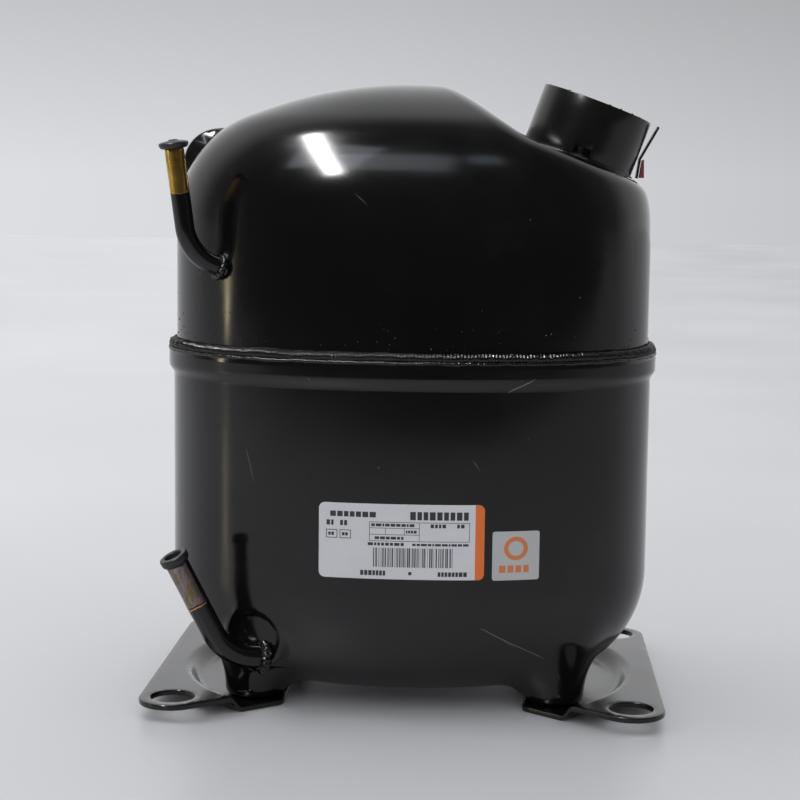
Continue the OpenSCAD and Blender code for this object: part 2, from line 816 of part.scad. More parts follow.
module thrust_washer() {
  color("#b98d4a") translate([crank_x, 0, hub_z]) difference() {
    cylinder(h = 1.8, r = 17, $fn = 64);
    translate([0, 0, -1]) cylinder(h = 4, r = shaft_r + 0.3, $fn = 64);
  }
}

// ================= Crank train =================

module crankshaft() {
  color("#85878a") translate([crank_x, 0, 0]) difference() {
    union() {
      translate([throw, 0, pin_z0]) cylinder(h = web_z0 - pin_z0 + EPS, r = pin_r, $fn = 64);
      translate([throw / 2, 0, web_z0]) cylinder(h = web_z1 - web_z0, r = web_r, $fn = 96);
      translate([0, 0, web_z1 - EPS]) cylinder(h = hub_z - web_z1 + EPS, r = journal_r, $fn = 64);
      translate([0, 0, hub_z - EPS]) cylinder(h = stator_z1 + 12 - hub_z, r = shaft_r, $fn = 64);
    }
    translate([throw / 2, 0, pin_z0 - 1]) cylinder(h = 9, r = plug_r + FIT, $fn = 32);
    translate([0, 0, stator_z1 - 20]) cylinder(h = 40, r = 2.5, $fn = 32);
  }
}

module counterweight() {
  color("#6f6a60") translate([crank_x, 0, web_z0 + 1]) difference() {
    rotate_extrude(angle = 150, start = 105, $fn = 96) square([sweep_r, 7]);
    translate([throw / 2, 0, -1]) cylinder(h = 10, r = web_r, $fn = 96);
  }
}

module oil_pickup() {
  color("#93918b") translate([crank_x, 0, 0]) difference() {
    union() {
      translate([throw, 0, pin_z0 - 3]) cylinder(h = 3, r = pin_r + 2.5, $fn = 64);
      hull() {
        translate([throw, 0, pin_z0 - 7]) cylinder(h = 4.5, r = 6, $fn = 32);
        translate([0, 0, pin_z0 - 7]) cylinder(h = 4.5, r = 5, $fn = 32);
      }
      translate([0, 0, 12]) cylinder(h = pin_z0 - 18, r1 = 3.5, r2 = 5, $fn = 32);
    }
    translate([0, 0, 11]) cylinder(h = 12, r = 2, $fn = 32);
  }
}

module gallery_plug() {
  color("#c2a25a") translate([crank_x + throw / 2, 0, pin_z0 + 0.3])
    cylinder(h = 7.2, r = plug_r, $fn = 32);
}

module connecting_rod() {
  h = rod_h;
  color("#a3a4a6") translate([crank_x + throw, 0, bore_z - h / 2]) difference() {
    union() {
      cylinder(h = h, r = 15.5, $fn = 64);
      translate([13, -4.5, 1.8]) cube([rod_l - 18, 9, h - 3.6]);
      translate([rod_l, 0, 0]) cylinder(h = h, r = 7.5, $fn = 48);
    }
    translate([0, 0, -1]) cylinder(h = h + 2, r = pin_r + FIT, $fn = 64);
    translate([rod_l, 0, -1]) cylinder(h = h + 2, r = wrist_r, $fn = 48);
  }
}

module wrist_pin() {
  color("#b7bbbe") translate([crank_x + throw + rod_l, 0, bore_z - wrist_l / 2])
    cylinder(h = wrist_l, r = wrist_r, $fn = 48);
}

module piston() {
  crown = throw + rod_l + 13;
  skirt = 32;
  wrist = throw + rod_l;
  color("#909296") on_bore() difference() {
    translate([0, 0, crown - skirt]) cylinder(h = skirt, r = bore_r - FIT, $fn = 96);
    translate([-rod_h / 2 - 0.5, -18.6, crown - skirt - 1]) cube([rod_h + 1, 37.2, skirt - 4]);
    translate([-wrist_l / 2 - 0.3, -15.8, wrist - wrist_slot]) cube([wrist_l + 0.6, 31.6, 2 * wrist_slot]);
    translate([-1.5, -7.5, crown - 2.2]) cube([reed_root + 2, 15, 5]);
    for (z = [crown - 4.4, crown - 8]) translate([0, 0, z]) rotate_extrude($fn = 96)
      translate([bore_r - 0.6, 0]) square([2, 1.2]);
  }
}

// ================= Nodes =================

lower_shell();
upper_shell();
weld_bead();
base_plate_left();
base_plate_right();
terminal_fence();
terminal_body();
terminal_glass();
terminal_pins();
cover_clip();
clip_sleeve();
process_tube();
process_plug();
discharge_tube();
discharge_plug();
suction_tube();
suction_plug();
nameplate();
refrigerant_sticker();
spring_studs();
crankcase();
cylinder_head();
head_gasket();
valve_plate();
suction_reed();
discharge_reed();
head_bolts();
suction_muffler();
discharge_muffler();
stator_core();
stator_winding();
stator_bolts();
thrust_washer();
suspension_springs();
shock_loop();
lead_harness();
cluster_plug();
crankshaft();
counterweight();
rotor_core();
rotor_end_rings();
oil_pickup();
connecting_rod();
wrist_pin();
piston();
gallery_plug();
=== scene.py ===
import json
import math
import random

import bmesh
import bpy
import numpy as np
from mathutils import Matrix, Vector, noise
from mathutils.geometry import delaunay_2d_cdt


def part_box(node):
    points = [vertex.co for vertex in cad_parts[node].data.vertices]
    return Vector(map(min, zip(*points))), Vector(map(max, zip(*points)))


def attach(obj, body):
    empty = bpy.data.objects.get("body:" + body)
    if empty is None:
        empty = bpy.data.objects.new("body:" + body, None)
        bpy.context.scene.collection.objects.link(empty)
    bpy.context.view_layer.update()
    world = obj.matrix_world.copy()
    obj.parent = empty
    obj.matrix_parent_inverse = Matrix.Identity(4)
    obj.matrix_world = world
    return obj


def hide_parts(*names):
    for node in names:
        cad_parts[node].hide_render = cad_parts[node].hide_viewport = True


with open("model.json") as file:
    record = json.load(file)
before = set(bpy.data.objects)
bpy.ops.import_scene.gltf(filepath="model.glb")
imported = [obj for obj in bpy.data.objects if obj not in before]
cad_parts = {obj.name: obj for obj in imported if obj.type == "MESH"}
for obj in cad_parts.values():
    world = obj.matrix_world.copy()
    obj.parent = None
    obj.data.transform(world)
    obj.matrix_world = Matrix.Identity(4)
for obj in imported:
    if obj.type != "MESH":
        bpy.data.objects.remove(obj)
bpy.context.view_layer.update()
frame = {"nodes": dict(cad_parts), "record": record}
mounts = {m["name"]: m for m in frame["record"]["mounts"]}
MM = 0.001
rng = random.Random(7)


def box_mm(node):
    """Lowest and highest corner of a CAD node, in millimetres."""
    lo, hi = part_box(node)
    return np.array(lo) / MM, np.array(hi) / MM


def mount_mm(name):
    """A mount's place in millimetres and its axis."""
    m = mounts[name]
    return np.array(m["pos_m"]) / MM, np.array(m["axis"], float)


# ==== Sizes, in millimetres ====

RIM_HI = box_mm("lower_shell")[1]
SKIRT_LO = box_mm("upper_shell")[0]

PLAN_N = 2.25           # squareness of the shell's plan, where 2 is an ellipse
SHEET = 3.0             # thickness of both shells
RIM_STEP = 2.3          # how far the rim stands out from the lower wall
UPPER_STEP = 1.4        # how much smaller the upper shell is, each side
SEAM_Z = RIM_HI[2]
WALL_LOW = RIM_HI[0] - RIM_STEP
WALL_UP = WALL_LOW - UPPER_STEP
HALF_LENGTH, HALF_WIDTH = 111.0, 72.5
SKIRT_GAP = 0.2         # the upper shell's skirt is slimmer still across Y, to drop into the rim
RATIO_LOW = HALF_WIDTH / HALF_LENGTH
RATIO_UP = (HALF_WIDTH - UPPER_STEP - SKIRT_GAP) / (HALF_LENGTH - UPPER_STEP)
DOME_Z = 281.0
DOME_CROWN, DOME_CORNER = 205.0, 52.0
FLOOR_Z = 2.6
FLOOR_CROWN, FLOOR_CORNER = 400.0, 50.0
JOGGLE_LO, JOGGLE_HI = SEAM_Z - 12.2, SEAM_Z - 7.3
# A cap's wall, pole, crown and corner radius, and 1 where it faces up
DOME_CAP = (WALL_UP, DOME_Z, DOME_CROWN, DOME_CORNER, 1)
FLOOR_CAP = (WALL_LOW, FLOOR_Z, FLOOR_CROWN, FLOOR_CORNER, -1)
UPPER_CENTRE, LOWER_CENTRE = 175.0, 92.0    # where the rays that find each shell start
SHELL_COLS = 480
UP = np.array([0.0, 0.0, 1.0])

FACET_POS = np.array([75.0, 0.0, 248.0])
FACET_AXIS = mount_mm("terminal_studs")[1]
FACET_TILT = math.atan2(FACET_AXIS[0], FACET_AXIS[2])
FENCE_R, FENCE_T, FENCE_H = 26.0, 1.6, 27.0
NOTCH_W, NOTCH_H = 9.0, 5.0
FACET_RISE = 0.35       # how much steeper the dome grows uphill of the fence

PAD_X, PAD_Y, PAD_R, PAD_TOP = 69.0, 38.5, 13.0, 36.0
DOME_BLEND, FOOT_BLEND = 5.0, 15.0      # how softly the facet and boss, and the feet, run into a shell
POCKET_POS = np.array([-66.0, -56.5, 33.0])
POCKET_AXIS = np.array([-math.sin(math.radians(17)), -math.cos(math.radians(17)), 0.0])
BOSS_POS = np.array([-98.5, 40.0, 243.5])
BOSS_R, BOSS_L = 17.0, 33.0
BOSS_AXIS = mount_mm("suction_stub")[1]

# Bent tubes: root, turn from -X, then [rise, straight, bend radius, rise, straight] and diameter
PROCESS = dict(root=(-82.0, -50.0, 198.0), turn=30, path=(20, 4, 21, 82, 34), d=8.5)
DISCHARGE = dict(root=(-60.5, -54.8, 24.0), turn=25, path=(5, 7, 23, 63, 36.5), d=10.2)
SUCTION_D, SUCTION_L = 14.0, 26.0
TUBE_WALL = 1.0

HOLE_X, HOLE_Y = 101.6, 67.0
HOLE_R = mounts["base_holes"]["dims"]["hole_r_mm"]
PLATE_T, DISH_DEPTH = 2.5, 5.5
DISH_X, DISH_R, DISH_SLOPE = 15.5, 84.0, 6.0


# ==== Mesh helpers ====

def unit(v):
    v = np.asarray(v, float)
    return v / np.linalg.norm(v)


def angles(count):
    """Even angles round a full turn."""
    return np.linspace(0, 2 * math.pi, count, endpoint=False)


def link(name, data):
    """A new object in the scene."""
    obj = bpy.data.objects.new(name, data)
    bpy.context.scene.collection.objects.link(obj)
    return obj


def add_object(name, verts, faces, slot, replaced="", body="shell", material=None, smooth=True):
    """A mesh object from points in millimetres, riding on a CAD body in its slot's material."""
    mesh = bpy.data.meshes.new(name)
    mesh.from_pydata((np.asarray(verts, float) * MM).tolist(), [], faces)
    mesh.update()
    mesh.polygons.foreach_set("use_smooth", [smooth] * len(mesh.polygons))
    mesh.materials.append(material or SLOT_MATERIALS[slot])
    obj = link(name, mesh)
    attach(obj, body)
    if replaced:
        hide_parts(replaced)
    return obj


def ring_faces(rows, cols, close=False):
    """Quads between rings of cols points; close joins the last ring to the first."""
    faces = []
    for j in range(rows if close else rows - 1):
        p, q = j * cols, (j + 1) % rows * cols
        faces += [(p + i, q + i, q + (i + 1) % cols, p + (i + 1) % cols) for i in range(cols)]
    return faces


def capped_rings(rings, start, end):
    """Points and faces of a stack of rings whose ends close on the points start and end."""
    rings = np.asarray(rings, float)
    rows, cols = rings.shape[:2]
    tip, base = rows * cols, (rows - 1) * cols
    faces = ring_faces(rows, cols)
    faces += [(tip, i, (i + 1) % cols) for i in range(cols)]
    faces += [(base + i, tip + 1, base + (i + 1) % cols) for i in range(cols)]
    return rings.reshape(-1, 3).tolist() + [list(start), list(end)], faces


def rim_ways(axis, count):
    """Unit vectors round an axis, at right angles to it."""
    axis = unit(axis)
    hint = (1.0, 0.0, 0.0) if abs(axis[2]) > 0.95 else (0.0, 0.0, 1.0)
    u = unit(np.cross(hint, axis))
    t = angles(count)[:, None]
    return np.cos(t) * u + np.sin(t) * np.cross(axis, u)


def rounded(profile, radius, steps):
    """The same outline with its corners cut back along short curves."""
    pts = [np.array(p, float) for p in profile]
    out = pts[:1]
    for a, p, b in zip(pts, pts[1:], pts[2:]):
        pa, pb = (p + unit(q - p) * min(radius, 0.45 * np.linalg.norm(q - p)) for q in (a, b))
        for t in np.arange(steps + 1) / steps:
            out.append((1 - t) ** 2 * pa + 2 * t * (1 - t) * p + t * t * pb)
    return out + pts[-1:]


def smooth_min(a, b, k):
    h = np.maximum(k - np.abs(a - b), 0) / k
    return np.minimum(a, b) - h * h * k / 4


def smooth_max(a, b, k):
    return -smooth_min(-a, -b, k)


def rod_distance(p, origin, axis, radius, lo, hi, edge):
    """Distance from points p to a round bar between lo and hi along axis, edges rounded."""
    v = p - origin
    a = v @ axis
    r = np.linalg.norm(v - a[..., None] * axis, axis=-1)
    dr = r - radius + edge
    da = np.maximum(lo + edge - a, a - hi + edge)
    return np.hypot(np.maximum(dr, 0), np.maximum(da, 0)) + np.minimum(np.maximum(dr, da), 0) - edge


# ==== The shell's surface ====

def plan(q, ratio, t):
    """Points of the shell's plan with half-length q at angles t."""
    c, s = np.cos(t), np.sin(t)
    e = 2 / PLAN_N
    return q * np.sign(c) * np.abs(c) ** e, q * ratio * np.sign(s) * np.abs(s) ** e


def plan_outward(x, y, ratio):
    """Level unit vectors at right angles to the plan through x and y."""
    out = np.stack([np.sign(x) * np.abs(x) ** (PLAN_N - 1),
                    np.sign(y) * np.abs(y / ratio) ** (PLAN_N - 1) / ratio, 0 * x], 1)
    return out / np.linalg.norm(out, axis=1)[:, None]


def plan_size(p, ratio):
    """Half-length of the plan ring through points p."""
    return (np.abs(p[..., 0]) ** PLAN_N + np.abs(p[..., 1] / ratio) ** PLAN_N) ** (1 / PLAN_N)


def cap_arcs(cap):
    """Angle where a cap's crown meets its corner arc, and the corner's centre [q, z]."""
    wall, pole, crown, corner, up = cap
    al = math.asin((wall - corner) / (crown - corner))
    return al, (wall - corner, pole - up * (crown - (crown - corner) * math.cos(al)))


def cap_distance(q, z, cap):
    """Distance outside a wall that ends in a corner arc and a crown arc."""
    wall, pole, crown, corner, up = cap
    al, (qc, zc) = cap_arcs(cap)
    h = up * (z - zc)
    rise = up * (z - (pole - up * crown))
    crown_d = np.hypot(q, rise) - crown
    corner_d = np.hypot(np.maximum(q - qc, 0), h) - corner
    return np.where(h < 0, q - wall, np.where(np.arctan2(q, rise) < al, crown_d, corner_d))


def cap_profile(cap, step, inset=0.0):
    """Profile points [q, z] from near the pole to the wall, about step apart."""
    _, pole, crown, corner, up = cap
    al, (qc, zc) = cap_arcs(cap)
    top = pole - up * crown
    crown, corner = crown - inset, corner - inset
    n1 = max(4, round(crown * al / step))
    n2 = max(4, round(corner * (math.pi / 2 - al) / step))
    arc = [al * i / n1 for i in range(1, n1 + 1)]
    pts = [(crown * math.sin(a), top + up * crown * math.cos(a)) for a in arc]
    arc = [al + (math.pi / 2 - al) * i / n2 for i in range(1, n2 + 1)]
    return pts + [(qc + corner * math.sin(a), zc + up * corner * math.cos(a)) for a in arc]


def ripple(p):
    """The slight unevenness of drawn sheet, in millimetres."""
    x, y, z = p[..., 0], p[..., 1], p[..., 2]
    return (0.05 * np.sin(x / 17 + 0.6 * np.sin(z / 31)) * np.sin(z / 23 + 1.3)
            + 0.04 * np.sin(y / 13 + z / 41 + 0.5) * np.cos(x / 29)
            + 0.02 * np.sin(x / 7.3 + z / 9.1) * np.sin(y / 8.7 + 2))


def upper_field(p):
    """Below zero inside the upper shell: dome, terminal facet and suction boss."""
    x, z = p[..., 0], p[..., 2]
    dome = cap_distance(plan_size(p, RATIO_UP), z, DOME_CAP)
    uphill = (FACET_POS[0] - x) / math.cos(FACET_TILT) - FENCE_R - 1.0
    rise = FACET_RISE * (uphill + np.hypot(uphill, 4.0)) / 2
    plane = FACET_POS[2] + math.tan(FACET_TILT) * (FACET_POS[0] - x) + rise
    facet = (z - plane) * math.cos(FACET_TILT)
    body = np.where(x > 0, smooth_max(dome, facet, DOME_BLEND), dome)
    boss = rod_distance(p, BOSS_POS, BOSS_AXIS, BOSS_R, -BOSS_L, 0.0, 2.6)
    return smooth_min(body, boss, DOME_BLEND) + ripple(p)


def low_wall(z):
    """Half-length of the lower shell's wall at height z, with the joggle below the rim."""
    t = np.clip((z - JOGGLE_LO) / (JOGGLE_HI - JOGGLE_LO), 0, 1)
    return WALL_LOW + RIM_STEP * t * t * (3 - 2 * t)


def lower_field(p):
    """Below zero inside the lower shell: wall, bottom, four feet and the pocket."""
    z = p[..., 2]
    wall = low_wall(z)
    q = plan_size(p, RATIO_LOW) - (wall - WALL_LOW)
    body = cap_distance(q, z, FLOOR_CAP)
    for sx in (-1, 1):
        for sy in (-1, 1):
            middle = np.array([sx * PAD_X, sy * PAD_Y, 0.0])
            foot = rod_distance(p, middle, UP, PAD_R, 2.5, PAD_TOP, 3.5)
            body = smooth_min(body, foot, FOOT_BLEND)
    lip = rod_distance(p, POCKET_POS, POCKET_AXIS, 14.5, -12.0, 1.4, 1.3)
    hollow = rod_distance(p, POCKET_POS, POCKET_AXIS, 11.4, -0.6, 30.0, 1.2)
    body = smooth_max(smooth_min(body, lip, 3.0), -hollow, 1.6)
    return body + ripple(p)


def cast(centre, aim, field, level=0.0):
    """Last points along the rays from centre through aim where the field is at level."""
    d = aim - centre
    steps = np.linspace(1.3, 0.55, 76)
    far = np.full(aim.shape[:-1], steps[0])
    near = np.full(aim.shape[:-1], steps[-1])
    found = np.zeros(aim.shape[:-1], bool)
    for before, now in zip(steps, steps[1:]):
        hit = ~found & (field(centre + d * now) < level)
        far[hit], near[hit] = before, now
        found |= hit
    for _ in range(22):
        mid = (far + near) / 2
        inside = field(centre + d * mid[..., None]) < level
        near = np.where(inside, mid, near)
        far = np.where(inside, far, mid)
    return centre + d * ((far + near) / 2)[..., None]


def plan_rings(profile, ratio):
    """Rings of plan points for profile points [q, z]."""
    t = angles(SHELL_COLS)
    return np.array([np.stack([*plan(q, ratio, t), np.full(SHELL_COLS, z)], 1) for q, z in profile])


def make_shell(name, cap, ratio, field, middle, step, wall, edge, inner_wall=()):
    """A shell as one closed sheet, cast from height middle: fine outside, coarse inside."""
    _, pole, _, _, up = cap
    centre = UP * middle
    outer = cast(centre, plan_rings(cap_profile(cap, step) + wall, ratio), field)
    inner = plan_rings([*cap_profile(cap, 14.0, SHEET), *inner_wall], ratio)
    inner = cast(centre, inner, field, -SHEET)
    rings = np.concatenate([outer, plan_rings(edge, ratio), inner[::-1]])
    verts, faces = capped_rings(rings, cast(centre, UP[None] * pole, field)[0], UP * (pole - up * SHEET))
    if up < 0:
        faces = [f[::-1] for f in faces]
    add_object(name + "_skin", verts, faces, "shell_enamel", name)


def make_shells():
    """The upper shell with its skirt's lip, and the lower one with its rim rolled over at the seam."""
    top = cap_profile(DOME_CAP, 2.2)[-1][1] - 3
    wall = [(WALL_UP, z) for z in np.linspace(top, SEAM_Z - 5, 24)]
    lip_z = SKIRT_LO[2] + 0.05
    lip = [(WALL_UP - 0.4, lip_z), (WALL_UP - SHEET / 2, lip_z), (WALL_UP - SHEET, lip_z + 0.4)]
    make_shell("upper_shell", DOME_CAP, RATIO_UP, upper_field, UPPER_CENTRE, 2.2, wall, lip,
               [(WALL_UP - SHEET, 200)])
    plain = np.arange(cap_profile(FLOOR_CAP, 2.0)[-1][1] + 4, JOGGLE_LO - 3, 5.0)
    joggle = np.arange(JOGGLE_LO - 2, JOGGLE_HI + 2, 0.7)
    wall = [(float(low_wall(z)), z) for z in (*plain, *joggle)]
    rim = WALL_LOW + RIM_STEP
    edge = [(rim, SEAM_Z - 3), (rim, SEAM_Z - 1), (rim - 0.3, SEAM_Z - 0.3), (rim - 1, SEAM_Z - 0.02),
            (rim - SHEET, SEAM_Z - 0.02), (rim - SHEET, SEAM_Z - 6), (WALL_LOW - SHEET, JOGGLE_LO)]
    make_shell("lower_shell", FLOOR_CAP, RATIO_LOW, lower_field, LOWER_CENTRE, 2.0, wall, edge)


# ==== Materials ====

class Tree:
    """A node tree, with short calls for the nodes used most."""

    def __init__(self, owner):
        owner.use_nodes = True
        self.tree = owner.node_tree

    def set(self, node, socket, value):
        if isinstance(value, bpy.types.NodeSocket):
            self.tree.links.new(value, node.inputs[socket])
        else:
            node.inputs[socket].default_value = value

    def add(self, kind, fields=None, **inputs):
        node = self.tree.nodes.new(kind)
        for key, value in (fields or {}).items():
            setattr(node, key, value)
        for key, value in inputs.items():
            self.set(node, key.replace("_", " "), value)
        return node

    def ramp(self, value, low, high, out_low=0.0, out_high=1.0):
        """value taken from low..high to out_low..out_high, and held at the ends."""
        node = self.add("ShaderNodeMapRange", Value=value, From_Min=low, From_Max=high, To_Min=out_low,
                        To_Max=out_high)
        return node.outputs["Result"]

    def fade(self, value, low, high):
        """1 below low, 0 above high."""
        return self.ramp(value, low, high, 1.0, 0.0)

    def math(self, operation, a, b=0.0):
        node = self.add("ShaderNodeMath", {"operation": operation})
        self.set(node, 0, a)
        self.set(node, 1, b)
        return node.outputs[0]

    def times(self, first, *others):
        for other in others:
            first = self.math("MULTIPLY", first, other)
        return first

    def plus(self, a, b):
        return self.math("ADD", a, b)

    def mix(self, factor, a, b, blend="MIX"):
        """Colour a where factor is 0 and b where it is 1."""
        node = self.add("ShaderNodeMix", {"data_type": "RGBA", "blend_type": blend})
        for index, v in ((0, factor), (6, a), (7, b)):
            self.set(node, index, (*v, 1.0) if isinstance(v, tuple) else v)
        return node.outputs[2]

    def palette(self, value, *stops):
        """The colour at value along stops, each (place, colour)."""
        node = self.add("ShaderNodeValToRGB", Fac=value)
        band = node.color_ramp.elements
        while len(band) < len(stops):
            band.new(0.5)
        for element, (place, colour) in zip(band, stops):
            element.position = place
            element.color = (*colour, 1.0)
        return node.outputs["Color"]


class Graph(Tree):
    """A material and its node tree."""

    def __init__(self, name, colour, rough=0.4, metal=0.0, **sockets):
        self.mat = bpy.data.materials.new(name)
        super().__init__(self.mat)
        self.bsdf = self.tree.nodes["Principled BSDF"]
        sockets.update(Base_Color=(*colour, 1.0), Roughness=rough, Metallic=metal)
        for key, value in sockets.items():
            self.set(self.bsdf, key.replace("_", " "), value)
        self.where = self.add("ShaderNodeTexCoord").outputs["Object"]

    def xyz(self):
        """The object coordinates, one by one."""
        return self.add("ShaderNodeSeparateXYZ", Vector=self.where).outputs

    def noise(self, scale, detail=3.0, rough=0.5, where=None):
        return self.add("ShaderNodeTexNoise", Vector=where or self.where, Scale=scale, Detail=detail,
                        Roughness=rough).outputs["Fac"]

    def streaks(self, detail, *scale):
        """Noise with its own scale along each of x, y and z."""
        where = self.add("ShaderNodeMapping", Vector=self.where, Scale=scale).outputs["Vector"]
        return self.noise(1.0, detail, 0.6, where)

    def specks(self, scale, size, share):
        """1 in small dots, in that share of the cells, and 0 elsewhere."""
        cells = self.add("ShaderNodeTexVoronoi", Vector=self.where, Scale=scale)
        dot = self.fade(cells.outputs["Distance"], size * 0.6, size)
        split = self.add("ShaderNodeSeparateColor", Color=cells.outputs["Color"])
        return self.times(dot, self.math("LESS_THAN", split.outputs[0], share))

    def front_offset(self, x, z):
        """Distances from a place [x, z] on the front, in metres, and 1 on the front half."""
        place = self.xyz()
        dx, dz = self.math("SUBTRACT", place[0], x * MM), self.math("SUBTRACT", place[2], z * MM)
        return dx, dz, self.math("LESS_THAN", place[1], 0.0)

    def stroke(self, start, end, width):
        """1 on a thin straight line across the front, between two [x, z] places in millimetres."""
        ux, uz = unit(np.subtract(end, start)).tolist()
        long = math.dist(start, end)
        dx, dz, front = self.front_offset(*start)
        along = self.plus(self.times(dx, ux), self.times(dz, uz))
        across = self.plus(self.times(dx, -uz), self.times(dz, ux))
        wander = self.ramp(self.noise(160, 2), 0.0, 1.0, -0.4 * MM, 0.4 * MM)
        across = self.math("ABSOLUTE", self.plus(across, wander))
        line = self.fade(across, width * MM * 0.4, width * MM)
        ends = self.times(self.ramp(along, 0, 3 * MM), self.fade(along, (long - 4) * MM, long * MM))
        return self.times(line, ends, front)

    def thumb_mark(self, x, z, radius):
        """1 on a blurred, ridged print of a finger at [x, z] on the front, in millimetres."""
        dx, dz, front = self.front_offset(x, z)
        away = self.math("SQRT", self.plus(self.math("POWER", dx, 2.0), self.math("POWER", dz, 2.0)))
        away = self.plus(away, self.ramp(self.noise(90, 2), 0.0, 1.0, -2 * MM, 2 * MM))
        mark = self.fade(away, radius * 0.75 * MM, radius * MM)
        ridges = self.ramp(self.math("PINGPONG", away, 0.35 * MM), 0.0, 0.35 * MM, 0.45, 1.0)
        return self.times(mark, ridges, front)

    def bump(self, height, depth_mm, normal=None):
        """Height 0..1 stands depth_mm proud, on top of another bump if one is given."""
        below = {"Normal": normal} if normal else {}
        node = self.add("ShaderNodeBump", Height=height, Distance=depth_mm * MM, Strength=1.0, **below)
        self.set(self.bsdf, "Normal", node.outputs["Normal"])
        return node.outputs["Normal"]

    def base(self, colour):
        self.set(self.bsdf, "Base Color", colour)

    def rough(self, value):
        self.set(self.bsdf, "Roughness", value)


def shade(colour, share):
    """A colour at a share of its brightness."""
    return tuple(c * share for c in colour)


DUST = (0.42, 0.42, 0.4)
THUMB_MARKS = ((-12.0, 49.0, 7.0), (4.0, 40.0, 6.0), (-3.0, 46.0, 4.5))  # [x, z] and radius


def enamel(name, colour, rough, dust, peel_mm, scratches=(), marks=()):
    """Stoved black enamel: orange peel, wiped patches, dust, hairlines and a few scratches."""
    g = Graph(name, colour)
    wiped = g.ramp(g.noise(14, 3, 0.55), 0.35, 0.75, *rough)
    wiped = g.plus(wiped, g.ramp(g.streaks(3, 60, 60, 700), 0.55, 0.75, 0.0, 0.03))
    for mark in marks:
        wiped = g.plus(wiped, g.times(g.thumb_mark(*mark), 0.16))
    g.rough(wiped)
    light = g.times(g.math("MAXIMUM", g.specks(95, 0.03, dust), g.specks(33, 0.016, dust)), 0.45)
    light = g.math("MAXIMUM", light, g.ramp(g.noise(22, 4, 0.65), 0.55, 0.9, 0.0, 0.02))
    for start, end, width, depth in scratches:
        light = g.math("MAXIMUM", light, g.times(g.stroke(start, end, width), depth))
    g.base(g.mix(light, colour, DUST))
    peel = g.bump(g.noise(420, 2, 0.5), peel_mm)
    g.bump(g.noise(90, 1, 0.4), peel_mm * 3, peel)
    return g.mat


def weld_enamel(name, colour):
    """Enamel over weld metal: pitted, brown where it is thin, and glinting, partly from pale specks that are
    painted glints.
    """
    g = Graph(name, colour, 0.15)
    pits = g.noise(900, 3, 0.6)
    paint = g.mix(g.ramp(g.noise(70, 3, 0.6), 0.55, 0.8), colour, (0.03, 0.024, 0.02))
    # Painted glints: pale grey specks in the base colour.
    g.base(g.mix(g.times(g.specks(300, 0.07, 0.12), 0.5), paint, (0.5, 0.5, 0.48)))
    g.rough(g.ramp(pits, 0.35, 0.7, 0.08, 0.24))
    g.bump(pits, 0.04)
    return g.mat


def bare_end(name, band, bare, ring=None):
    """A tube that is bare metal for band millimetres from its end, and black paint below."""
    g = Graph(name, TUBE_PAINT)
    along = g.add("ShaderNodeAttribute", {"attribute_name": "along"}).outputs["Fac"]
    edge = g.plus(along, g.ramp(g.noise(240, 3), 0.3, 0.7, -0.5, 0.5))
    painted = g.ramp(edge, band - 0.12, band + 0.12)
    streak = g.streaks(4, 900, 900, 60)
    blotch = g.noise(170, 4, 0.65)
    colour = g.palette(g.plus(g.times(streak, 0.4), g.times(blotch, 0.6)), *bare)
    if ring:
        strip = g.times(g.ramp(edge, band + 0.7, band + 0.9), g.fade(edge, band + 1.3, band + 1.5))
        strip = g.times(strip, g.ramp(g.noise(120, 2), 0.45, 0.55))
        colour = g.mix(strip, colour, ring)
        painted = g.times(painted, g.math("SUBTRACT", 1.0, strip))
    g.base(g.mix(painted, colour, TUBE_PAINT))
    g.set(g.bsdf, "Metallic", g.math("SUBTRACT", 1.0, painted))
    g.rough(g.ramp(painted, 0.0, 1.0, 0.26, 0.16))
    g.bump(painted, 0.06, g.bump(g.plus(streak, blotch), 0.02))
    return g.mat


def metal(name, colour, rough, grain=(300, 300, 30), tint=None):
    """Worked metal: grain along one way, and stains where tint is given."""
    g = Graph(name, colour, rough, 1.0)
    lines = g.streaks(4, *grain)
    g.base(g.mix(g.ramp(g.noise(35, 4, 0.6), 0.35, 0.7), colour, tint or shade(colour, 0.72)))
    g.rough(g.ramp(lines, 0.3, 0.7, rough * 0.8, rough * 1.3))
    g.bump(lines, 0.004)
    return g.mat


def laminations(name, colour):
    """A stack of stamped sheets, 0.5 mm each, blued by the annealing."""
    g = Graph(name, colour, 0.42, 1.0)
    gap = g.ramp(g.math("PINGPONG", g.xyz()[2], 0.25 * MM), 0.0, 0.06 * MM)
    blued = g.mix(g.ramp(g.noise(45, 3, 0.6), 0.4, 0.7), colour, (0.13, 0.16, 0.24))
    g.base(g.mix(gap, shade(colour, 0.3), blued))
    g.bump(gap, 0.05)
    return g.mat


def windings(name, colour):
    """Varnished copper wire in close turns, with drips of varnish."""
    g = Graph(name, colour, 0.25, 0.9, Coat_Weight=0.6)
    height = g.plus(g.xyz()[2], g.ramp(g.noise(60, 2), 0.0, 1.0, -0.6 * MM, 0.6 * MM))
    wire = g.ramp(g.math("PINGPONG", height, 0.45 * MM), 0.0, 0.4 * MM)
    varnish = g.mix(g.ramp(g.noise(30, 3), 0.4, 0.7), colour, shade(colour, 0.6))
    # Painted shade: the colour darkens from each turn's crest to the grooves between turns; the same ramp
    # gives the turns their bump.
    g.base(g.mix(wire, shade(colour, 0.25), varnish))
    g.bump(wire, 0.35)
    return g.mat


def casting(name, colour, metallic, depth):
    """Sand or die cast metal: pebbled skin and oil stains."""
    g = Graph(name, colour, 0.55, metallic)
    oil = g.noise(28, 3, 0.5)
    g.base(g.mix(g.ramp(oil, 0.4, 0.65), colour, shade(colour, 0.6)))
    g.rough(g.ramp(oil, 0.4, 0.65, 0.6, 0.35))
    g.bump(g.noise(520, 5, 0.65), depth)
    return g.mat


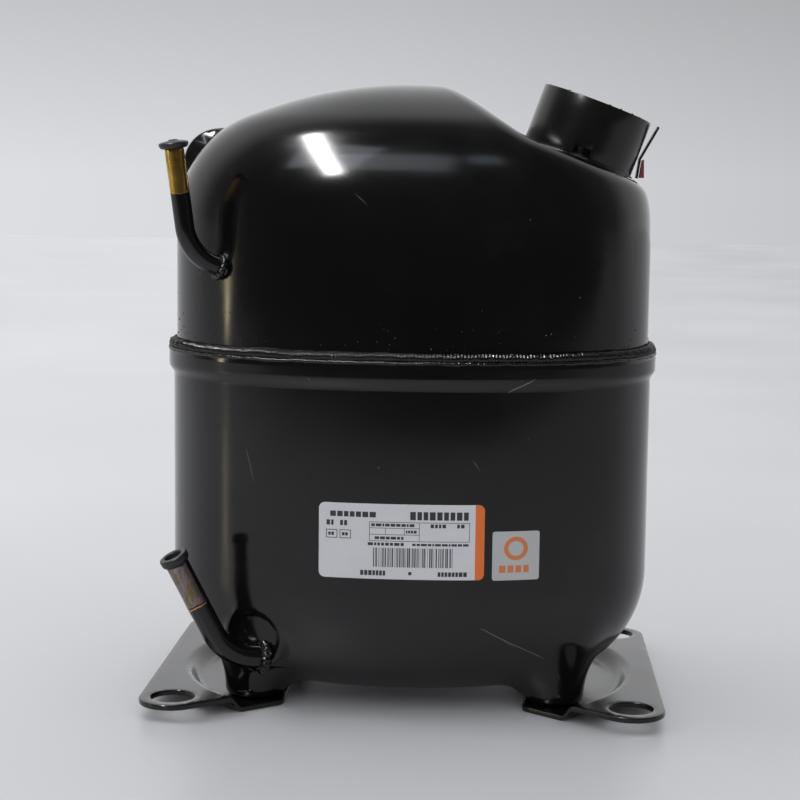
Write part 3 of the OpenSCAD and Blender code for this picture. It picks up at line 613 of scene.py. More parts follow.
def moulded(name, colour, rough, depth=0.02):
    """Moulded plastic or rubber: fine texture, slight mottling and a little dust."""
    g = Graph(name, colour, rough)
    mottle = g.noise(60, 3, 0.5)
    body = g.mix(g.ramp(mottle, 0.3, 0.7), colour, shade(colour, 0.8))
    g.base(g.mix(g.times(g.specks(300, 0.05, 0.25), 0.3), body, DUST))
    g.rough(g.ramp(mottle, 0.3, 0.7, rough * 0.85, min(1.0, rough * 1.15)))
    g.bump(g.noise(900, 3, 0.6), depth)
    return g.mat


def film(name, colour, rough=0.32):
    """Printed label film: a faint sheen, slight yellowing and small rub marks."""
    g = Graph(name, colour, rough, Coat_Weight=0.3, Coat_Roughness=0.2)
    tone = g.noise(55, 3, 0.6)
    rub = g.ramp(g.streaks(3, 500, 60, 90), 0.62, 0.75)
    aged = g.mix(g.ramp(tone, 0.35, 0.7), colour, shade(colour, 0.95))
    g.base(g.mix(g.times(rub, 0.25), aged, shade(colour, 0.85)))
    g.rough(g.ramp(tone, 0.3, 0.7, rough, rough + 0.12))
    g.bump(g.noise(700, 2), 0.008)
    return g.mat


# Short scratches on the front: start and end [x, z], width and strength
SHELL_SCRATCHES = [
    ((44.5, 146.5), (57.5, 153.0), 0.3, 0.35), ((34.0, 43.0), (64.0, 26.0), 0.3, 0.22),
    ((37.5, 41.0), (52.0, 32.0), 0.2, 0.15), ((-22.0, 232.0), (-16.0, 226.0), 0.25, 0.2),
    ((30.0, 118.0), (34.0, 112.0), 0.5, 0.1), ((-70.0, 120.0), (-66.0, 104.0), 0.22, 0.18),
]
TUBE_PAINT = (0.004, 0.004, 0.0042)
BRASS = ((0.25, (0.12, 0.06, 0.015)), (0.42, (0.4, 0.23, 0.05)), (0.55, (0.55, 0.36, 0.09)),
         (0.75, (0.8, 0.62, 0.25)))
COPPER = ((0.33, (0.14, 0.11, 0.03)), (0.46, (0.2, 0.16, 0.1)), (0.52, (0.22, 0.19, 0.22)),
          (0.58, (0.3, 0.22, 0.22)), (0.65, (0.4, 0.15, 0.09)), (0.76, (0.14, 0.09, 0.1)))
HEAT_RING = (0.7, 0.3, 0.16)

# For each material slot of the record, the function that makes its look and what it is given
SLOT_LOOKS = {
    "shell_enamel": (enamel, (0.0042, 0.0042, 0.0044), (0.1, 0.2), 0.3, 0.004, SHELL_SCRATCHES, THUMB_MARKS),
    "bead_enamel": (weld_enamel, (0.005, 0.005, 0.005)),
    "fence_enamel": (enamel, (0.0075, 0.007, 0.0062), (0.16, 0.3), 0.4, 0.006),
    "plate_enamel": (enamel, (0.006, 0.006, 0.0064), (0.12, 0.24), 0.5, 0.005),
    "terminal_steel": (metal, (0.5, 0.49, 0.46), 0.35),
    "seal_glass": (moulded, (0.09, 0.2, 0.15), 0.12, 0.004),
    "pin_steel": (metal, (0.62, 0.6, 0.55), 0.25),
    "clip_steel": (metal, (0.09, 0.09, 0.1), 0.38),
    "red_sleeve": (moulded, (0.33, 0.05, 0.03), 0.6),
    "process_brass": (bare_end, 19.0, BRASS),
    "discharge_copper": (bare_end, 20.5, COPPER, HEAT_RING),
    "suction_copper": (bare_end, 17.0, COPPER, HEAT_RING),
    "plug_rubber": (moulded, (0.012, 0.013, 0.016), 0.38, 0.01),
    "label_film": (film, (0.7, 0.71, 0.74)),
    "sticker_film": (film, (0.5, 0.51, 0.51), 0.4),
    "bare_steel": (metal, (0.46, 0.46, 0.46), 0.28, (30, 30, 900)),
    "spring_steel": (metal, (0.35, 0.36, 0.38), 0.3, (200, 200, 200)),
    "grey_iron": (casting, (0.16, 0.155, 0.15), 0.75, 0.12),
    "head_aluminium": (casting, (0.56, 0.57, 0.58), 0.95, 0.05),
    "piston_iron": (metal, (0.38, 0.37, 0.36), 0.22, (900, 30, 30)),
    "gasket_sheet": (moulded, (0.05, 0.06, 0.05), 0.8, 0.05),
    "bolt_steel": (metal, (0.1, 0.1, 0.11), 0.4),
    "muffler_plastic": (moulded, (0.6, 0.55, 0.42), 0.45),
    "muffler_steel": (metal, (0.3, 0.29, 0.27), 0.36, (60, 60, 500)),
    "lamination": (laminations, (0.3, 0.31, 0.33)),
    "winding_copper": (windings, (0.55, 0.2, 0.07)),
    "washer_bronze": (metal, (0.58, 0.4, 0.18), 0.3),
    "loop_copper": (metal, (0.62, 0.3, 0.17), 0.28, (300, 300, 30), (0.35, 0.2, 0.14)),
    "lead_red": (moulded, (0.35, 0.02, 0.02), 0.55),
}
SLOT_MATERIALS = {slot: make(slot, *values) for slot, (make, *values) in SLOT_LOOKS.items()}
INK = film("label_ink", (0.03, 0.03, 0.035), 0.4)
ORANGE = film("label_orange", (0.82, 0.17, 0.02), 0.4)
PALE_INK = film("sticker_ink", (0.68, 0.2, 0.06), 0.45)


def dress_cad_nodes():
    """Gives every CAD node the procedural material of its slot in the record."""
    for row in frame["record"]["subparts"]:
        mesh = frame["nodes"][row["node"]].data
        mesh.materials.clear()
        mesh.materials.append(SLOT_MATERIALS[row["material_slot"]])


# ==== Weld metal ====

SEAM_STEPS = 1700
BEAD_R, BEAD_OUT, BEAD_UP = 2.35, 1.0, 1.9      # the bead's radius, and its place from the seam's edge
TOE_R, TOE_OUT, TOE_UP = 0.85, 3.05, -0.2       # the same for the thin run at the bead's foot

def grain_noise(points, scale, seed=0.0):
    """Smooth noise from -1 to 1 at points in millimetres, with lumps about scale across."""
    points = np.asarray(points, float)
    values = [noise.noise(Vector(p)) for p in points.reshape(-1, 3) / scale + seed]
    return np.array(values).reshape(points.shape[:-1])


def weld_loop(centres, outward, size, pitch, rough, upward=UP, cols=14):
    """Points and faces of a weld bead round a closed path: freeze ripples, lumps and grit."""
    run = np.cumsum(np.linalg.norm(np.roll(centres, -1, 0) - centres, axis=1))
    ripples = round(run[-1] / pitch)
    w = -angles(cols)[None, :, None]
    around = np.cos(w) * outward[:, None, :] + np.sin(w) * unit(upward)
    smooth = centres[:, None, :] + size * around
    wave = np.sin(2 * math.pi * ripples * run / run[-1])[:, None]
    swell = 0.12 * size * wave + rough * (grain_noise(smooth, 7.0, 3.0) + grain_noise(smooth, 2.0, 11.0))
    rings = centres[:, None, :] + (size + swell)[..., None] * around
    return rings.reshape(-1, 3).tolist(), ring_faces(len(rings), cols, close=True)


def add_balls(verts, faces, places, sizes):
    """Adds small drops of spatter to a mesh."""
    ball = bmesh.new()
    bmesh.ops.create_icosphere(ball, subdivisions=2, radius=1.0)
    shape = np.array([v.co for v in ball.verts])
    tris = [[v.index for v in f.verts] for f in ball.faces]
    ball.free()
    for place, size in zip(places, sizes):
        first = len(verts)
        squash = np.array([1.0, 1.0, rng.uniform(0.7, 1.0)])
        verts += (np.asarray(place) + shape * size * squash).tolist()
        faces += [tuple(first + i for i in tri) for tri in tris]


def seam_path(out, rise, wander, lump, seed):
    """A path round the seam, out from the upper shell's skirt, with outward directions."""
    x, y = plan(WALL_UP, RATIO_UP, angles(4 * SEAM_STEPS))
    step = np.hypot(np.roll(x, -1) - x, np.roll(y, -1) - y)
    run = np.concatenate([[0], np.cumsum(step)])
    even = np.linspace(0, run[-1], SEAM_STEPS, endpoint=False)
    t = np.interp(even, run, np.append(angles(4 * SEAM_STEPS), 2 * math.pi))
    x, y = plan(WALL_UP, RATIO_UP, t)
    outward = plan_outward(x, y, RATIO_UP)
    path = np.stack([x, y, np.full(SEAM_STEPS, SEAM_Z + rise)], 1) + out * outward
    return path + UP * (wander * grain_noise(path, lump, seed))[:, None], outward


def make_weld_bead():
    """The fillet weld round the seam, with spatter on it and on the shell above."""
    toe, outward = seam_path(TOE_OUT, TOE_UP, 0.3, 8.0, 9.0)
    toe_verts, toe_faces = weld_loop(toe, outward, TOE_R, 1.2, 0.3, cols=8)
    centres, outward = seam_path(BEAD_OUT, BEAD_UP, 0.35, 14.0, 5.0)
    verts, faces = weld_loop(centres, outward, BEAD_R, 1.5, 0.34)
    faces += [tuple(len(verts) + i for i in face) for face in toe_faces]
    verts += toe_verts
    places, sizes = [], []
    for _ in range(170):
        aim = centres[rng.randrange(SEAM_STEPS)] + UP * (3.0 + min(rng.expovariate(1 / 5.0), 20.0))
        places.append(cast(UP * UPPER_CENTRE, aim[None], upper_field)[0])
        sizes.append(rng.uniform(0.15, 0.45))
    for k in range(0, SEAM_STEPS, 6):
        places.append(centres[k] + outward[k] * rng.uniform(1.0, 2.1) + UP * rng.uniform(-0.8, 2.2))
        sizes.append(rng.uniform(0.2, 0.55))
    add_balls(verts, faces, places, sizes)
    add_object("weld_bead_skin", verts, faces, "bead_enamel", "weld_bead")


def ring_weld(name, origin, axis, radius, size, rough, count, slot="shell_enamel", balls=0):
    """A small weld ring round a tube or the fence, as its own piece."""
    outward = rim_ways(axis, count)
    centres = np.asarray(origin) + radius * outward
    verts, faces = weld_loop(centres, outward, size, 1.6, rough, axis)
    picks = [rng.randrange(count) for _ in range(balls)]
    places = [centres[k] + outward[k] * rng.uniform(0, 2.2 * size) for k in picks]
    add_balls(verts, faces, places, [rng.uniform(0.2, 0.4) for _ in picks])
    add_object(name, verts, faces, slot)


# ==== Terminal fence ====

def notch(t, centre):
    """1 inside a notch of the fence centred at angle t, 0 outside, with steep sides."""
    away = np.abs((t - centre + math.pi) % (2 * math.pi) - math.pi) * FENCE_R
    return np.clip((NOTCH_W / 2 - away) / 0.35 + 0.5, 0, 1)


def make_fence():
    """The fence: a rolled strip with soft edges, a notch front and back, and a few burrs."""
    cols, soft = 720, 0.35
    t = angles(cols)
    foot = -0.6 + (NOTCH_H + 0.6) * notch(t, -math.pi / 2)
    burrs = [max(0.0, noise.noise(Vector((22 * math.cos(a), 22 * math.sin(a), 2.0))) - 0.35) for a in t]
    top = FENCE_H - NOTCH_H * notch(t, math.pi / 2) - 0.3 + 1.2 * np.array(burrs)
    out = FENCE_R + 0.1 * np.sin(2 * t + 0.6) + 0.04 * np.sin(5 * t) - 0.12
    bore = out - FENCE_T
    quarter = [(soft * (1 - math.cos(a)), soft * (1 - math.sin(a))) for a in np.radians((0, 30, 60, 90))]
    rings = [(out - inset, top - drop) for inset, drop in reversed(quarter)]
    rings += [(out, top * k + foot * (1 - k)) for k in (0.75, 0.5, 0.25)]
    rings += [(out - inset, foot + drop) for inset, drop in quarter]
    rings += [(bore + inset, foot + drop) for inset, drop in reversed(quarter)]
    rings += [(bore + inset, top - drop) for inset, drop in quarter]
    slope = np.array([math.cos(FACET_TILT), 0.0, -math.sin(FACET_TILT)])
    level = np.array([0.0, 1.0, 0.0])
    verts = [FACET_POS + (r * np.cos(t))[:, None] * slope + (r * np.sin(t))[:, None] * level
             + w[:, None] * FACET_AXIS for r, w in rings]
    faces = ring_faces(len(rings), cols, close=True)
    add_object("terminal_fence_wall", np.concatenate(verts), faces, "fence_enamel", "terminal_fence")


# ==== Tubes and plugs ====

def tube_place(tube, s):
    """Place and direction at length s from a bent tube's root."""
    e0, straight, radius, e1, _ = tube["path"]
    e0, e1, turn = (math.radians(a) for a in (e0, e1, tube["turn"]))
    ahead = np.array([-math.cos(turn), -math.sin(turn), 0.0])
    bend = radius * (e1 - e0)
    a = e0 + min(max(s - straight, 0.0), bend) / radius
    before, after = min(s, straight), max(s - straight - bend, 0.0)
    u = before * math.cos(e0) + radius * (math.sin(a) - math.sin(e0)) + after * math.cos(e1)
    w = before * math.sin(e0) + radius * (math.cos(e0) - math.cos(a)) + after * math.sin(e1)
    return np.array(tube["root"]) + u * ahead + w * UP, math.cos(a) * ahead + math.sin(a) * UP


def tube_length(tube):
    e0, straight, radius, e1, last = tube["path"]
    return straight + radius * math.radians(e1 - e0) + last


def make_tube(name, tube, inside, slot):
    """A bent tube as one closed solid with an open, rounded end; 'along' runs from that end."""
    cols, radius, total, depth = 48, tube["d"] / 2, tube_length(tube), 14.0
    mid = radius - TUBE_WALL / 2
    arc = np.radians((0, 30, 60, 90))
    section = [(radius - TUBE_WALL, d) for d in (depth, 9.0, 4.0, 1.0)]
    section += [(mid - 0.5 * math.cos(a), 0.4 - 0.4 * math.sin(a)) for a in arc]
    section += [(mid + 0.5 * math.cos(a), 0.4 - 0.4 * math.sin(a)) for a in arc[2::-1]]
    section += [(radius, d) for d in np.linspace(1.2, total + inside, 60)]
    level = unit(np.cross(tube_place(tube, total)[1], UP))
    t = angles(cols)[:, None]
    rings, along = [], []
    for r, d in section:
        place, ahead = tube_place(tube, total - d)
        side = np.cross(level, ahead)
        flat = 1 - 0.02 * math.sin(math.pi * min(max((d - tube["path"][4]) / 25, 0), 1))
        rings.append(place + r * (np.cos(t) * side / flat + np.sin(t) * level * flat))
        along += [d] * cols
    if np.dot(np.cross(side, level), ahead) < 0:
        rings = [ring[::-1] for ring in rings]
    verts, faces = capped_rings(rings, tube_place(tube, total - depth)[0], tube_place(tube, -inside)[0])
    piece = add_object(name + "_skin", verts, faces, slot, name)
    lengths = piece.data.attributes.new("along", "FLOAT", "POINT")
    lengths.data.foreach_set("value", np.array(along + [depth, total + inside], np.float32))


# The plugs' outlines [radius, height over the tube's end], top centre first
PROCESS_PLUG = [(0, 4.1), (1.8, 4.0), (2.2, 3.6), (5.2, 3.1), (6.4, 2.7), (6.6, 1.9), (5.9, 0.5),
                (4.9, 0.06), (3.2, 0.06), (3.2, -7), (0, -7)]
DISCHARGE_PLUG = [(0, 0.8), (3.4, 0.8), (3.9, 3.7), (4.3, 4.0), (6.1, 4.0), (6.5, 3.5), (6.4, 1.2),
                  (5.7, 0.06), (4.05, 0.06), (4.05, -7), (0, -7)]
SUCTION_PLUG = [(0, 1.4), (5.2, 1.4), (5.7, 3.7), (6.2, 4.0), (8.6, 4.0), (9.0, 3.5), (8.9, 1.4),
                (8.0, 0.06), (5.95, 0.06), (5.95, -8), (0, -8)]


def make_plug(name, profile, end, axis):
    """A turned rubber plug in a tube's end, which pulls out on its own joint."""
    outline = rounded(profile, 0.35, 3)
    rim = rim_ways(axis, 72)
    rings = [end + r * rim + h * axis for r, h in outline[1:-1]]
    start, stop = (end + outline[k][1] * unit(axis) for k in (0, -1))
    verts, faces = capped_rings(rings, start, stop)
    add_object(name + "_rubber", verts, faces, "plug_rubber", name, name)


def make_plugs():
    make_plug("process_plug", PROCESS_PLUG, *tube_place(PROCESS, tube_length(PROCESS)))
    make_plug("discharge_plug", DISCHARGE_PLUG, *tube_place(DISCHARGE, tube_length(DISCHARGE)))
    make_plug("suction_plug", SUCTION_PLUG, BOSS_POS + BOSS_AXIS * SUCTION_L, BOSS_AXIS)


def make_tubes():
    make_tube("process_tube", PROCESS, 8.0, "process_brass")
    make_tube("discharge_tube", DISCHARGE, 12.0, "discharge_copper")
    turn = math.degrees(math.atan2(-BOSS_AXIS[1], -BOSS_AXIS[0]))
    suction = dict(root=BOSS_POS - BOSS_AXIS * 5, turn=turn, path=(0, 5, 1000.0, 0, SUCTION_L), d=SUCTION_D)
    make_tube("suction_tube", suction, 0.0, "suction_copper")
    ring_weld("process_tube_braze", *tube_place(PROCESS, 1.2), 4.6, 1.5, 0.1, 96)
    ring_weld("discharge_tube_braze", *tube_place(DISCHARGE, 2.2), 5.2, 2.2, 0.75, 128, balls=14)
    ring_weld("suction_tube_braze", BOSS_POS + BOSS_AXIS * 0.5, BOSS_AXIS, 7.2, 1.1, 0.2, 128)
    ring_weld("fence_weld_ring", FACET_POS + FACET_AXIS * 0.15, FACET_AXIS, FENCE_R + 0.1, 0.75, 0.16, 480,
              "bead_enamel", 40)


# ==== Flat pieces: plates and labels ====

def inset_loop(loop, d):
    """A closed 2-D outline moved d to its left."""
    t = np.roll(loop, -1, 0) - np.roll(loop, 1, 0)
    t /= np.linalg.norm(t, axis=1)[:, None]
    return loop + d * np.stack([-t[:, 1], t[:, 0]], 1)


def within(points, loop):
    """Which 2-D points lie inside a closed outline."""
    inside = np.zeros(len(points), bool)
    for (x0, y0), (x1, y1) in zip(loop, np.roll(loop, -1, 0)):
        if y0 != y1:
            crosses = (points[:, 1] < y0) != (points[:, 1] < y1)
            inside ^= crosses & (points[:, 0] < x0 + (points[:, 1] - y0) * (x1 - x0) / (y1 - y0))
    return inside


def flat_mesh(loops, step, place, low, high, edge, bends=2):
    """A plate between heights low and high above place's surface, its edges rounded.

    loops are 2-D outlines, the outer one counter-clockwise and its holes clockwise.
    """
    tight = [inset_loop(loop, edge) for loop in loops]
    rim = np.concatenate(tight)
    x, y = np.meshgrid(np.arange(rim[:, 0].min(), rim[:, 0].max(), step),
                       np.arange(rim[:, 1].min(), rim[:, 1].max(), step * 0.87))
    x[1::2] += step / 2
    grid = np.stack([x.ravel(), y.ravel()], 1)

    def solid(points):
        keep = within(points, tight[0])
        for hole in tight[1:]:
            keep &= ~within(points, hole)
        return keep

    grid = grid[solid(grid)]
    gap = np.min(np.linalg.norm(grid[:, None] - rim[None], axis=2), axis=1)
    flat = np.concatenate([rim, grid[gap > 0.6 * step]])
    edges = []
    for loop in tight:
        n, first = len(loop), len(edges)
        edges += [(first + i, first + (i + 1) % n) for i in range(n)]
    _, _, tris, origin, _, _ = delaunay_2d_cdt([Vector(p) for p in flat], edges, [], 0, 1e-7)
    tris = np.array([[origin[i][0] for i in tri] for tri in tris])
    tris = tris[solid(flat[tris].mean(axis=1))]
    count = len(flat)
    verts = [place(flat, high), place(flat, low)]
    faces = [tuple(tri) for tri in tris.tolist()]
    faces += [tuple(count + i for i in tri[::-1]) for tri in tris.tolist()]
    total, first = 2 * count, 0
    turns = [math.radians(90 * k / bends) for k in range(1, bends + 1)]
    levels = [(edge * (1 - math.sin(a)), high - edge * (1 - math.cos(a))) for a in turns]
    levels += [(edge * (1 - math.sin(a)), low + edge * (1 - math.cos(a))) for a in reversed(turns)]
    for loop in loops:
        n = len(loop)
        rows = [np.arange(first, first + n)]
        for inset, height in levels:
            verts.append(place(inset_loop(loop, inset), height))
            rows.append(np.arange(total, total + n))
            total += n
        rows.append(np.arange(count + first, count + first + n))
        for a, b in zip(rows, rows[1:]):
            faces += list(zip(a.tolist(), b.tolist(), np.roll(b, -1).tolist(), np.roll(a, -1).tolist()))
        first += n
    return np.concatenate(verts), faces


def circle_loop(x, y, r, count, clockwise=False):
    t = angles(count) * (-1 if clockwise else 1)
    return np.stack([x + r * np.cos(t), y + r * np.sin(t)], 1)


def hull_loop(circles, step):
    """The taut outline round circles (x, y, r), counter-clockwise, in even steps."""
    t = np.radians(np.arange(0, 360, 0.5))
    owner = np.argmax([x * np.cos(t) + y * np.sin(t) + r for x, y, r in circles], axis=0)
    x, y, r = np.array(circles)[owner].T
    return even_loop(np.stack([x + r * np.cos(t), y + r * np.sin(t)], 1), step)


def even_loop(pts, step):
    """A closed outline at about even steps."""
    ring = np.concatenate([pts, pts[:1]])
    run = np.concatenate([[0], np.cumsum(np.linalg.norm(np.diff(ring, axis=0), axis=1))])
    keep = np.concatenate([[True], np.diff(run) > 1e-9])
    at = np.linspace(0, run[-1], max(12, round(run[-1] / step)), endpoint=False)
    return np.stack([np.interp(at, run[keep], ring[keep, k]) for k in (0, 1)], 1)


def plate_place(xy, height):
    """A place on the right base plate, dished where the shell stands in it."""
    r = np.hypot(xy[:, 0] - DISH_X, xy[:, 1])
    s = np.clip((r - DISH_R + 0.5) / DISH_SLOPE, 0, 1)
    return np.column_stack([xy, DISH_DEPTH * s * s * (3 - 2 * s) + height])


def make_base_plates():
    """Two pressed plates, mirror images, each with a hole at both outer corners."""
    corners = [(HOLE_X, sy * HOLE_Y, 15.0) for sy in (-1, 1)] + [(60.0, sy * 46.0, 6.0) for sy in (-1, 1)]
    holes = [circle_loop(HOLE_X, sy * HOLE_Y, HOLE_R, 72, clockwise=True) for sy in (-1, 1)]
    loops = [hull_loop(corners, 1.6)] + holes
    verts, faces = flat_mesh(loops, 2.2, plate_place, 0.0, PLATE_T, 0.45, 3)
    add_object("base_plate_right_pressed", verts, faces, "plate_enamel", "base_plate_right")
    verts, faces = verts * (-1.0, 1.0, 1.0), [f[::-1] for f in faces]
    add_object("base_plate_left_pressed", verts, faces, "plate_enamel", "base_plate_left")


def wall_place(xz, height):
    """A place on the shell's front wall at [x, z], height out from its surface."""
    x, z = xz[:, 0], xz[:, 1]
    y = -RATIO_LOW * (WALL_LOW ** PLAN_N - np.abs(x) ** PLAN_N) ** (1 / PLAN_N)
    p = np.stack([x, y, z], 1)
    return p + plan_outward(x, y, RATIO_LOW) * (height - ripple(p))[:, None]


def box_loop(x0, x1, z0, z1, left, right, step=1.2):
    """A rectangle with its left and right corners rounded to those radii."""
    pts = []
    for x, z, r, a0 in ((x1, z0, right, -90), (x1, z1, right, 0), (x0, z1, left, 90), (x0, z0, left, 180)):
        cx, cz = x + (r if x == x0 else -r), z + (r if z == z0 else -r)
        pts += [(cx + r * math.cos(a), cz + r * math.sin(a)) for a in np.radians(np.linspace(a0, a0 + 90, 9))]
    return even_loop(np.array(pts), step)


FILM = 0.22             # how far the label films stand off the wall, and how far the ink does
INK_TOP = 0.25


def add_label(name, loop, corner_r, slot, replaced):
    """A label's film on the shell's wall, between its CAD node's corners."""
    return add_printed(name, [box_loop(*loop, corner_r, corner_r)], -0.1, FILM, slot, None, replaced)


def add_printed(name, loops, low, high, slot, material, replaced="", step=2.0):
    """A thin flat piece on the wall, between heights low and high."""
    verts, faces = flat_mesh(loops, step, wall_place, low, high, 0.02, 1)
    add_object(name, verts, faces, slot, replaced, material=material, smooth=False)


def add_prints(name, boxes, material, slot):
    """Printed rectangles [x0, x1, z0, z1] on a label, as thin closed slabs."""
    verts, faces = [], []
    for x0, x1, z0, z1 in boxes:
        xs = np.linspace(x0, x1, max(1, round((x1 - x0) / 2.5)) + 1)
        first, last = len(verts), 4 * len(xs) - 4
        for x in xs:
            ends = np.array([[x, z0], [x, z1]])
            verts += [*wall_place(ends, INK_TOP).tolist(), *wall_place(ends[::-1], FILM - 0.05).tolist()]
        slab = ring_faces(len(xs), 4) + [(0, 1, 2, 3), (last, last + 3, last + 2, last + 1)]
        faces += [tuple(first + i for i in face) for face in slab]
    add_object(name, verts, faces, slot, material=material, smooth=False)


def dashes(x0, x1, z0, z1, least, most, gap):
    """A row of plain blocks of uneven width, which stands for a line of print."""
    boxes, x = [], x0
    while x < x1 - least:
        w = min(rng.uniform(least, most), x1 - x)
        boxes.append((x, x + w, z0, z1))
        x += w + gap
    return boxes


def frame_lines(x0, x1, z0, z1, width):
    """The four sides of a printed box."""
    return [(x0, x1, z0, z0 + width), (x0, x1, z1 - width, z1),
            (x0, x0 + width, z0 + width, z1 - width), (x1 - width, x1, z0 + width, z1 - width)]


def nameplate_print(x0, x1, z0, z1):
    """The boxes printed on the nameplate: a table, rows of blocks and a bar pattern."""
    left, low, row, thin = x0 + 22.2, z1 - 16.4, 2.85, 0.22
    middle, right, second, third, top = left + 21.7, x1 - 6.4, low + row, low + 2 * row, low + 3 * row
    ink = frame_lines(left, right, low, top, thin) + [(middle, middle + thin, low, top)]
    ink += [(left, middle, z, z + thin) for z in (second, third)]
    ink += [(left + d, left + d + thin, second, third) for d in (7.0, 15.2)]
    ink += [(x0 + 39.4, x0 + 40.8, z0 + 2.0, z0 + 3.4)]
    # Rows of blocks: sides, least and most width of a block, and the gap
    for row_of_print in (
            (x0 + 5.0, x0 + 26.5, z1 - 6.0, z1 - 3.6, 1.8, 3.4, 0.6),
            (x0 + 40.0, x1 - 7.0, z1 - 6.8, z1 - 3.2, 1.9, 2.6, 0.7),
            (left + 0.9, middle - 2.0, third + 0.85, top - 0.75, 0.8, 2.6, 0.4),
            (left + 16.0, middle - 0.8, second + 0.85, third - 0.75, 0.6, 1.4, 0.3),
            (left + 2.4, left + 15.0, low + 0.85, second - 0.75, 0.8, 2.4, 0.4),
            (middle + 5.0, middle + 12.0, third + 0.5, top - 0.7, 0.9, 1.8, 0.5),
            (middle + 16.5, x1 - 7.4, third + 0.5, top - 0.7, 0.9, 1.6, 0.5),
            (x0 + 21.6, x0 + 38.5, low - 1.9, low - 0.6, 0.9, 3.0, 0.5),
            (x0 + 41.0, right, low - 1.8, low - 0.8, 0.7, 2.6, 0.4),
            (x0 + 18.4, x0 + 29.8, z0 + 1.6, z0 + 3.8, 1.1, 1.6, 0.35),
            (x0 + 52.2, x0 + 65.2, z0 + 1.5, z0 + 3.5, 1.1, 1.6, 0.35)):
        ink += dashes(*row_of_print)
    for x in (x0, x0 + 6.0):
        ink += frame_lines(x + 3.2, x + 8.2, z1 - 15.6, z1 - 11.8, 0.3)
        ink += dashes(x + 3.4, x + 7.8, z1 - 9.9, z1 - 7.6, 1.0, 1.6, 0.5)
        ink += dashes(x + 4.2, x + 7.4, z1 - 14.4, z1 - 13.0, 0.8, 1.2, 0.3)
    x = x0 + 24.0
    while x < x0 + 58.8:
        w = rng.choice((0.18, 0.25, 0.4, 0.55))
        ink.append((x, x + w, z0 + 5.4, low - 2.9))
        x += w + rng.choice((0.2, 0.3, 0.45, 0.7))
    return ink


def make_labels():
    """The nameplate and the small sticker, with plain blocks in place of all wording and marks."""
    (x0, _, z0), (x1, _, z1) = box_mm("nameplate")
    add_label("nameplate_film", (x0, x1, z0, z1), 2.5, "label_film", "nameplate")
    stripe = box_loop(x1 - 4.0, x1, z0, z1, 0.05, 2.5, 0.8)
    add_printed("nameplate_stripe", [stripe], FILM - 0.05, INK_TOP, "label_film", ORANGE, step=1.2)
    add_prints("nameplate_print", nameplate_print(x0, x1, z0, z1), INK, "label_film")
    (x0, _, z0), (x1, _, z1) = box_mm("refrigerant_sticker")
    add_label("sticker_film", (x0, x1, z0, z1), 0.7, "sticker_film", "refrigerant_sticker")
    cx, cz = (x0 + x1) / 2, z1 - 7.6
    ring = [circle_loop(cx, cz, 5.2, 64), circle_loop(cx, cz, 3.3, 48, clockwise=True)]
    add_printed("sticker_ring", ring, FILM - 0.05, INK_TOP, "sticker_film", PALE_INK, step=1.0)
    blocks = dashes(x0 + 3.0, x1 - 2.6, z0 + 3.4, z0 + 6.6, 2.2, 3.0, 0.9)
    add_prints("sticker_print", blocks, PALE_INK, "sticker_film")


# ==== Build ====

dress_cad_nodes()
make_shells()
make_weld_bead()
make_fence()
make_tubes()
make_plugs()
make_base_plates()
make_labels()


# ==== Camera, light and stage ====

CAMERA_POS = Vector((41.58, -855.9, 239.4)) * MM
CAMERA_YAW, CAMERA_PITCH, CAMERA_ROLL = -3.136, 6.976, 0.657   # degrees
CAMERA_LENS = 82.57


def make_camera():
    yaw, pitch, roll = np.radians((CAMERA_YAW, CAMERA_PITCH, CAMERA_ROLL)).tolist()
    data = bpy.data.cameras.new("camera")
    data.lens = CAMERA_LENS
    data.sensor_width = 36.0
    data.clip_end = 50.0
    cam = link("camera", data)
    turn = Matrix.Rotation(-yaw, 4, "Z") @ Matrix.Rotation(math.pi / 2 - pitch, 4, "X")
    cam.matrix_world = Matrix.Translation(CAMERA_POS) @ turn @ Matrix.Rotation(roll, 4, "Z")
    bpy.context.scene.camera = cam


def area_light(name, place, size, power, colour=(1, 1, 1), mirrored=True, floods=False, roll=0.0):
    """A soft rectangular lamp, seen in reflections (mirrored) or lighting matt surfaces (floods).

    place is azimuth, elevation and distance; azimuth 0 is the camera's side (-Y) and 90 is +X.
    """
    azimuth, elevation, distance = place
    az, el = math.radians(azimuth), math.radians(elevation)
    way = Vector((math.sin(az) * math.cos(el), -math.cos(az) * math.cos(el), math.sin(el)))
    data = bpy.data.lights.new(name, "AREA")
    data.shape = "RECTANGLE"
    data.size, data.size_y = size
    data.energy = power
    data.color = colour
    obj = link(name, data)
    obj.location = Vector((0, 0, 0.15)) + way * distance
    turn = (-way).to_track_quat("-Z", "Y").to_matrix() @ Matrix.Rotation(math.radians(roll), 3, "Z")
    obj.rotation_euler = turn.to_euler()
    obj.visible_camera = False
    obj.visible_glossy = mirrored
    obj.visible_diffuse = floods


def stage_plane(name, front, back, z, colour):
    """A plain floor from front to back in Y, a little darker towards the camera and the right, as painted
    light falloff.
    """
    mesh = bpy.data.meshes.new(name)
    corners = [(-6, front, z), (6, front, z), (6, back, z), (-6, back, z)]
    mesh.from_pydata(corners, [], [(0, 1, 2, 3)])
    obj = link(name, mesh)
    g = Graph(name + "_paint", colour, 0.4, Specular_IOR_Level=0.3)
    x, y, _ = g.xyz()
    # Painted light falloff: darker towards the camera, then darker to the right.
    left = g.mix(g.ramp(y, 0.2, 1.6), shade(colour, 0.88), colour)
    g.base(g.mix(g.ramp(x, -0.6, 0.7), left, shade(colour, 0.67)))
    g.rough(g.ramp(g.noise(3, 2), 0.3, 0.7, 0.3, 0.4))
    mesh.materials.append(g.mat)
    return obj


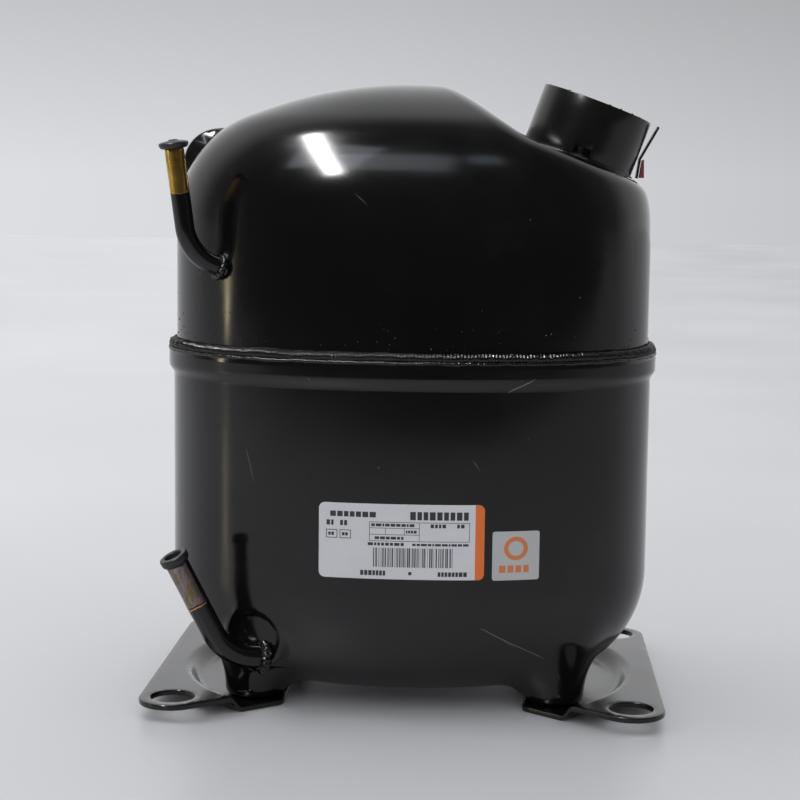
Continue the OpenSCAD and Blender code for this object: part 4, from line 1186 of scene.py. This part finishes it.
def make_stage():
    """A pale floor, and the dark end of the room in front of it, which only reflections show."""
    stage_plane("floor", -6.0, 6.0, 0.0, (0.9, 0.91, 0.935))
    dark = stage_plane("dark_room_floor", -6.0, -0.9, 0.002, (0.03, 0.03, 0.03))
    dark.visible_camera = dark.visible_diffuse = dark.visible_shadow = dark.visible_transmission = False


def make_world():
    """Pale backdrop behind and beside the object, graded as painted light falloff, and a dim room on the
    camera's side.
    """
    world = bpy.context.scene.world = bpy.data.worlds.new("studio")
    g = Tree(world)
    ways = g.add("ShaderNodeTexCoord").outputs["Generated"]
    x, y, z = g.add("ShaderNodeSeparateXYZ", Vector=ways).outputs

    def band(way, *stops):
        """Grey levels along one part of the view's direction, taken from -1..1 to 0..1."""
        stops = [(place, (level * 0.985, level * 0.9925, level * 1.01)) for place, level in stops]
        return g.palette(g.ramp(way, -1.0, 1.0), *stops)

    # Painted light falloff on the backdrop the camera sees: brightest near the horizon and to the left,
    # darker upwards and to the right.
    height = band(z, (0.5, 0.73), (0.546, 0.55), (0.6, 0.5), (1.0, 0.45))
    sideways = band(x, (0.35, 1.03), (0.47, 0.94), (0.58, 0.79), (1.0, 0.75))
    backdrop = g.mix(1.0, height, sideways, "MULTIPLY")
    room = band(y, (0.3, 0.06), (0.5, 0.18), (0.66, 0.75), (1.0, 1.0))
    rays = g.add("ShaderNodeLightPath").outputs
    unseen = g.mix(rays["Is Diffuse Ray"], room, (0.72, 0.72, 0.74))
    g.set(g.tree.nodes["Background"], "Color", g.mix(rays["Is Camera Ray"], unseen, backdrop))


make_camera()
make_stage()
make_world()
area_light("softbox", (-40, 52, 1.5), (0.13, 1.15), 30, roll=38)
area_light("softbox_halo", (-33, 49, 1.7), (0.7, 0.6), 3.0, (0.85, 0.92, 1.0))
area_light("front_glow", (-8, 45, 1.7), (0.75, 0.4), 1.6, (0.85, 0.9, 1.0))
area_light("front_glint", (24, 48, 1.7), (0.3, 0.2), 0.25, (0.8, 0.9, 1.0))
area_light("overhead", (-160, 78, 1.7), (0.9, 0.7), 2.0, mirrored=False, floods=True)
area_light("left_key", (-92, 38, 1.6), (0.5, 0.5), 3.5, mirrored=False, floods=True)
area_light("warm_strip", (-71, 3.5, 1.3), (0.06, 0.32), 0.7, (1.0, 0.88, 0.55))
area_light("warm_spot", (-70, 14, 1.3), (0.06, 0.09), 0.12, (1.0, 0.9, 0.62))
bpy.context.scene.view_settings.view_transform = "Standard"
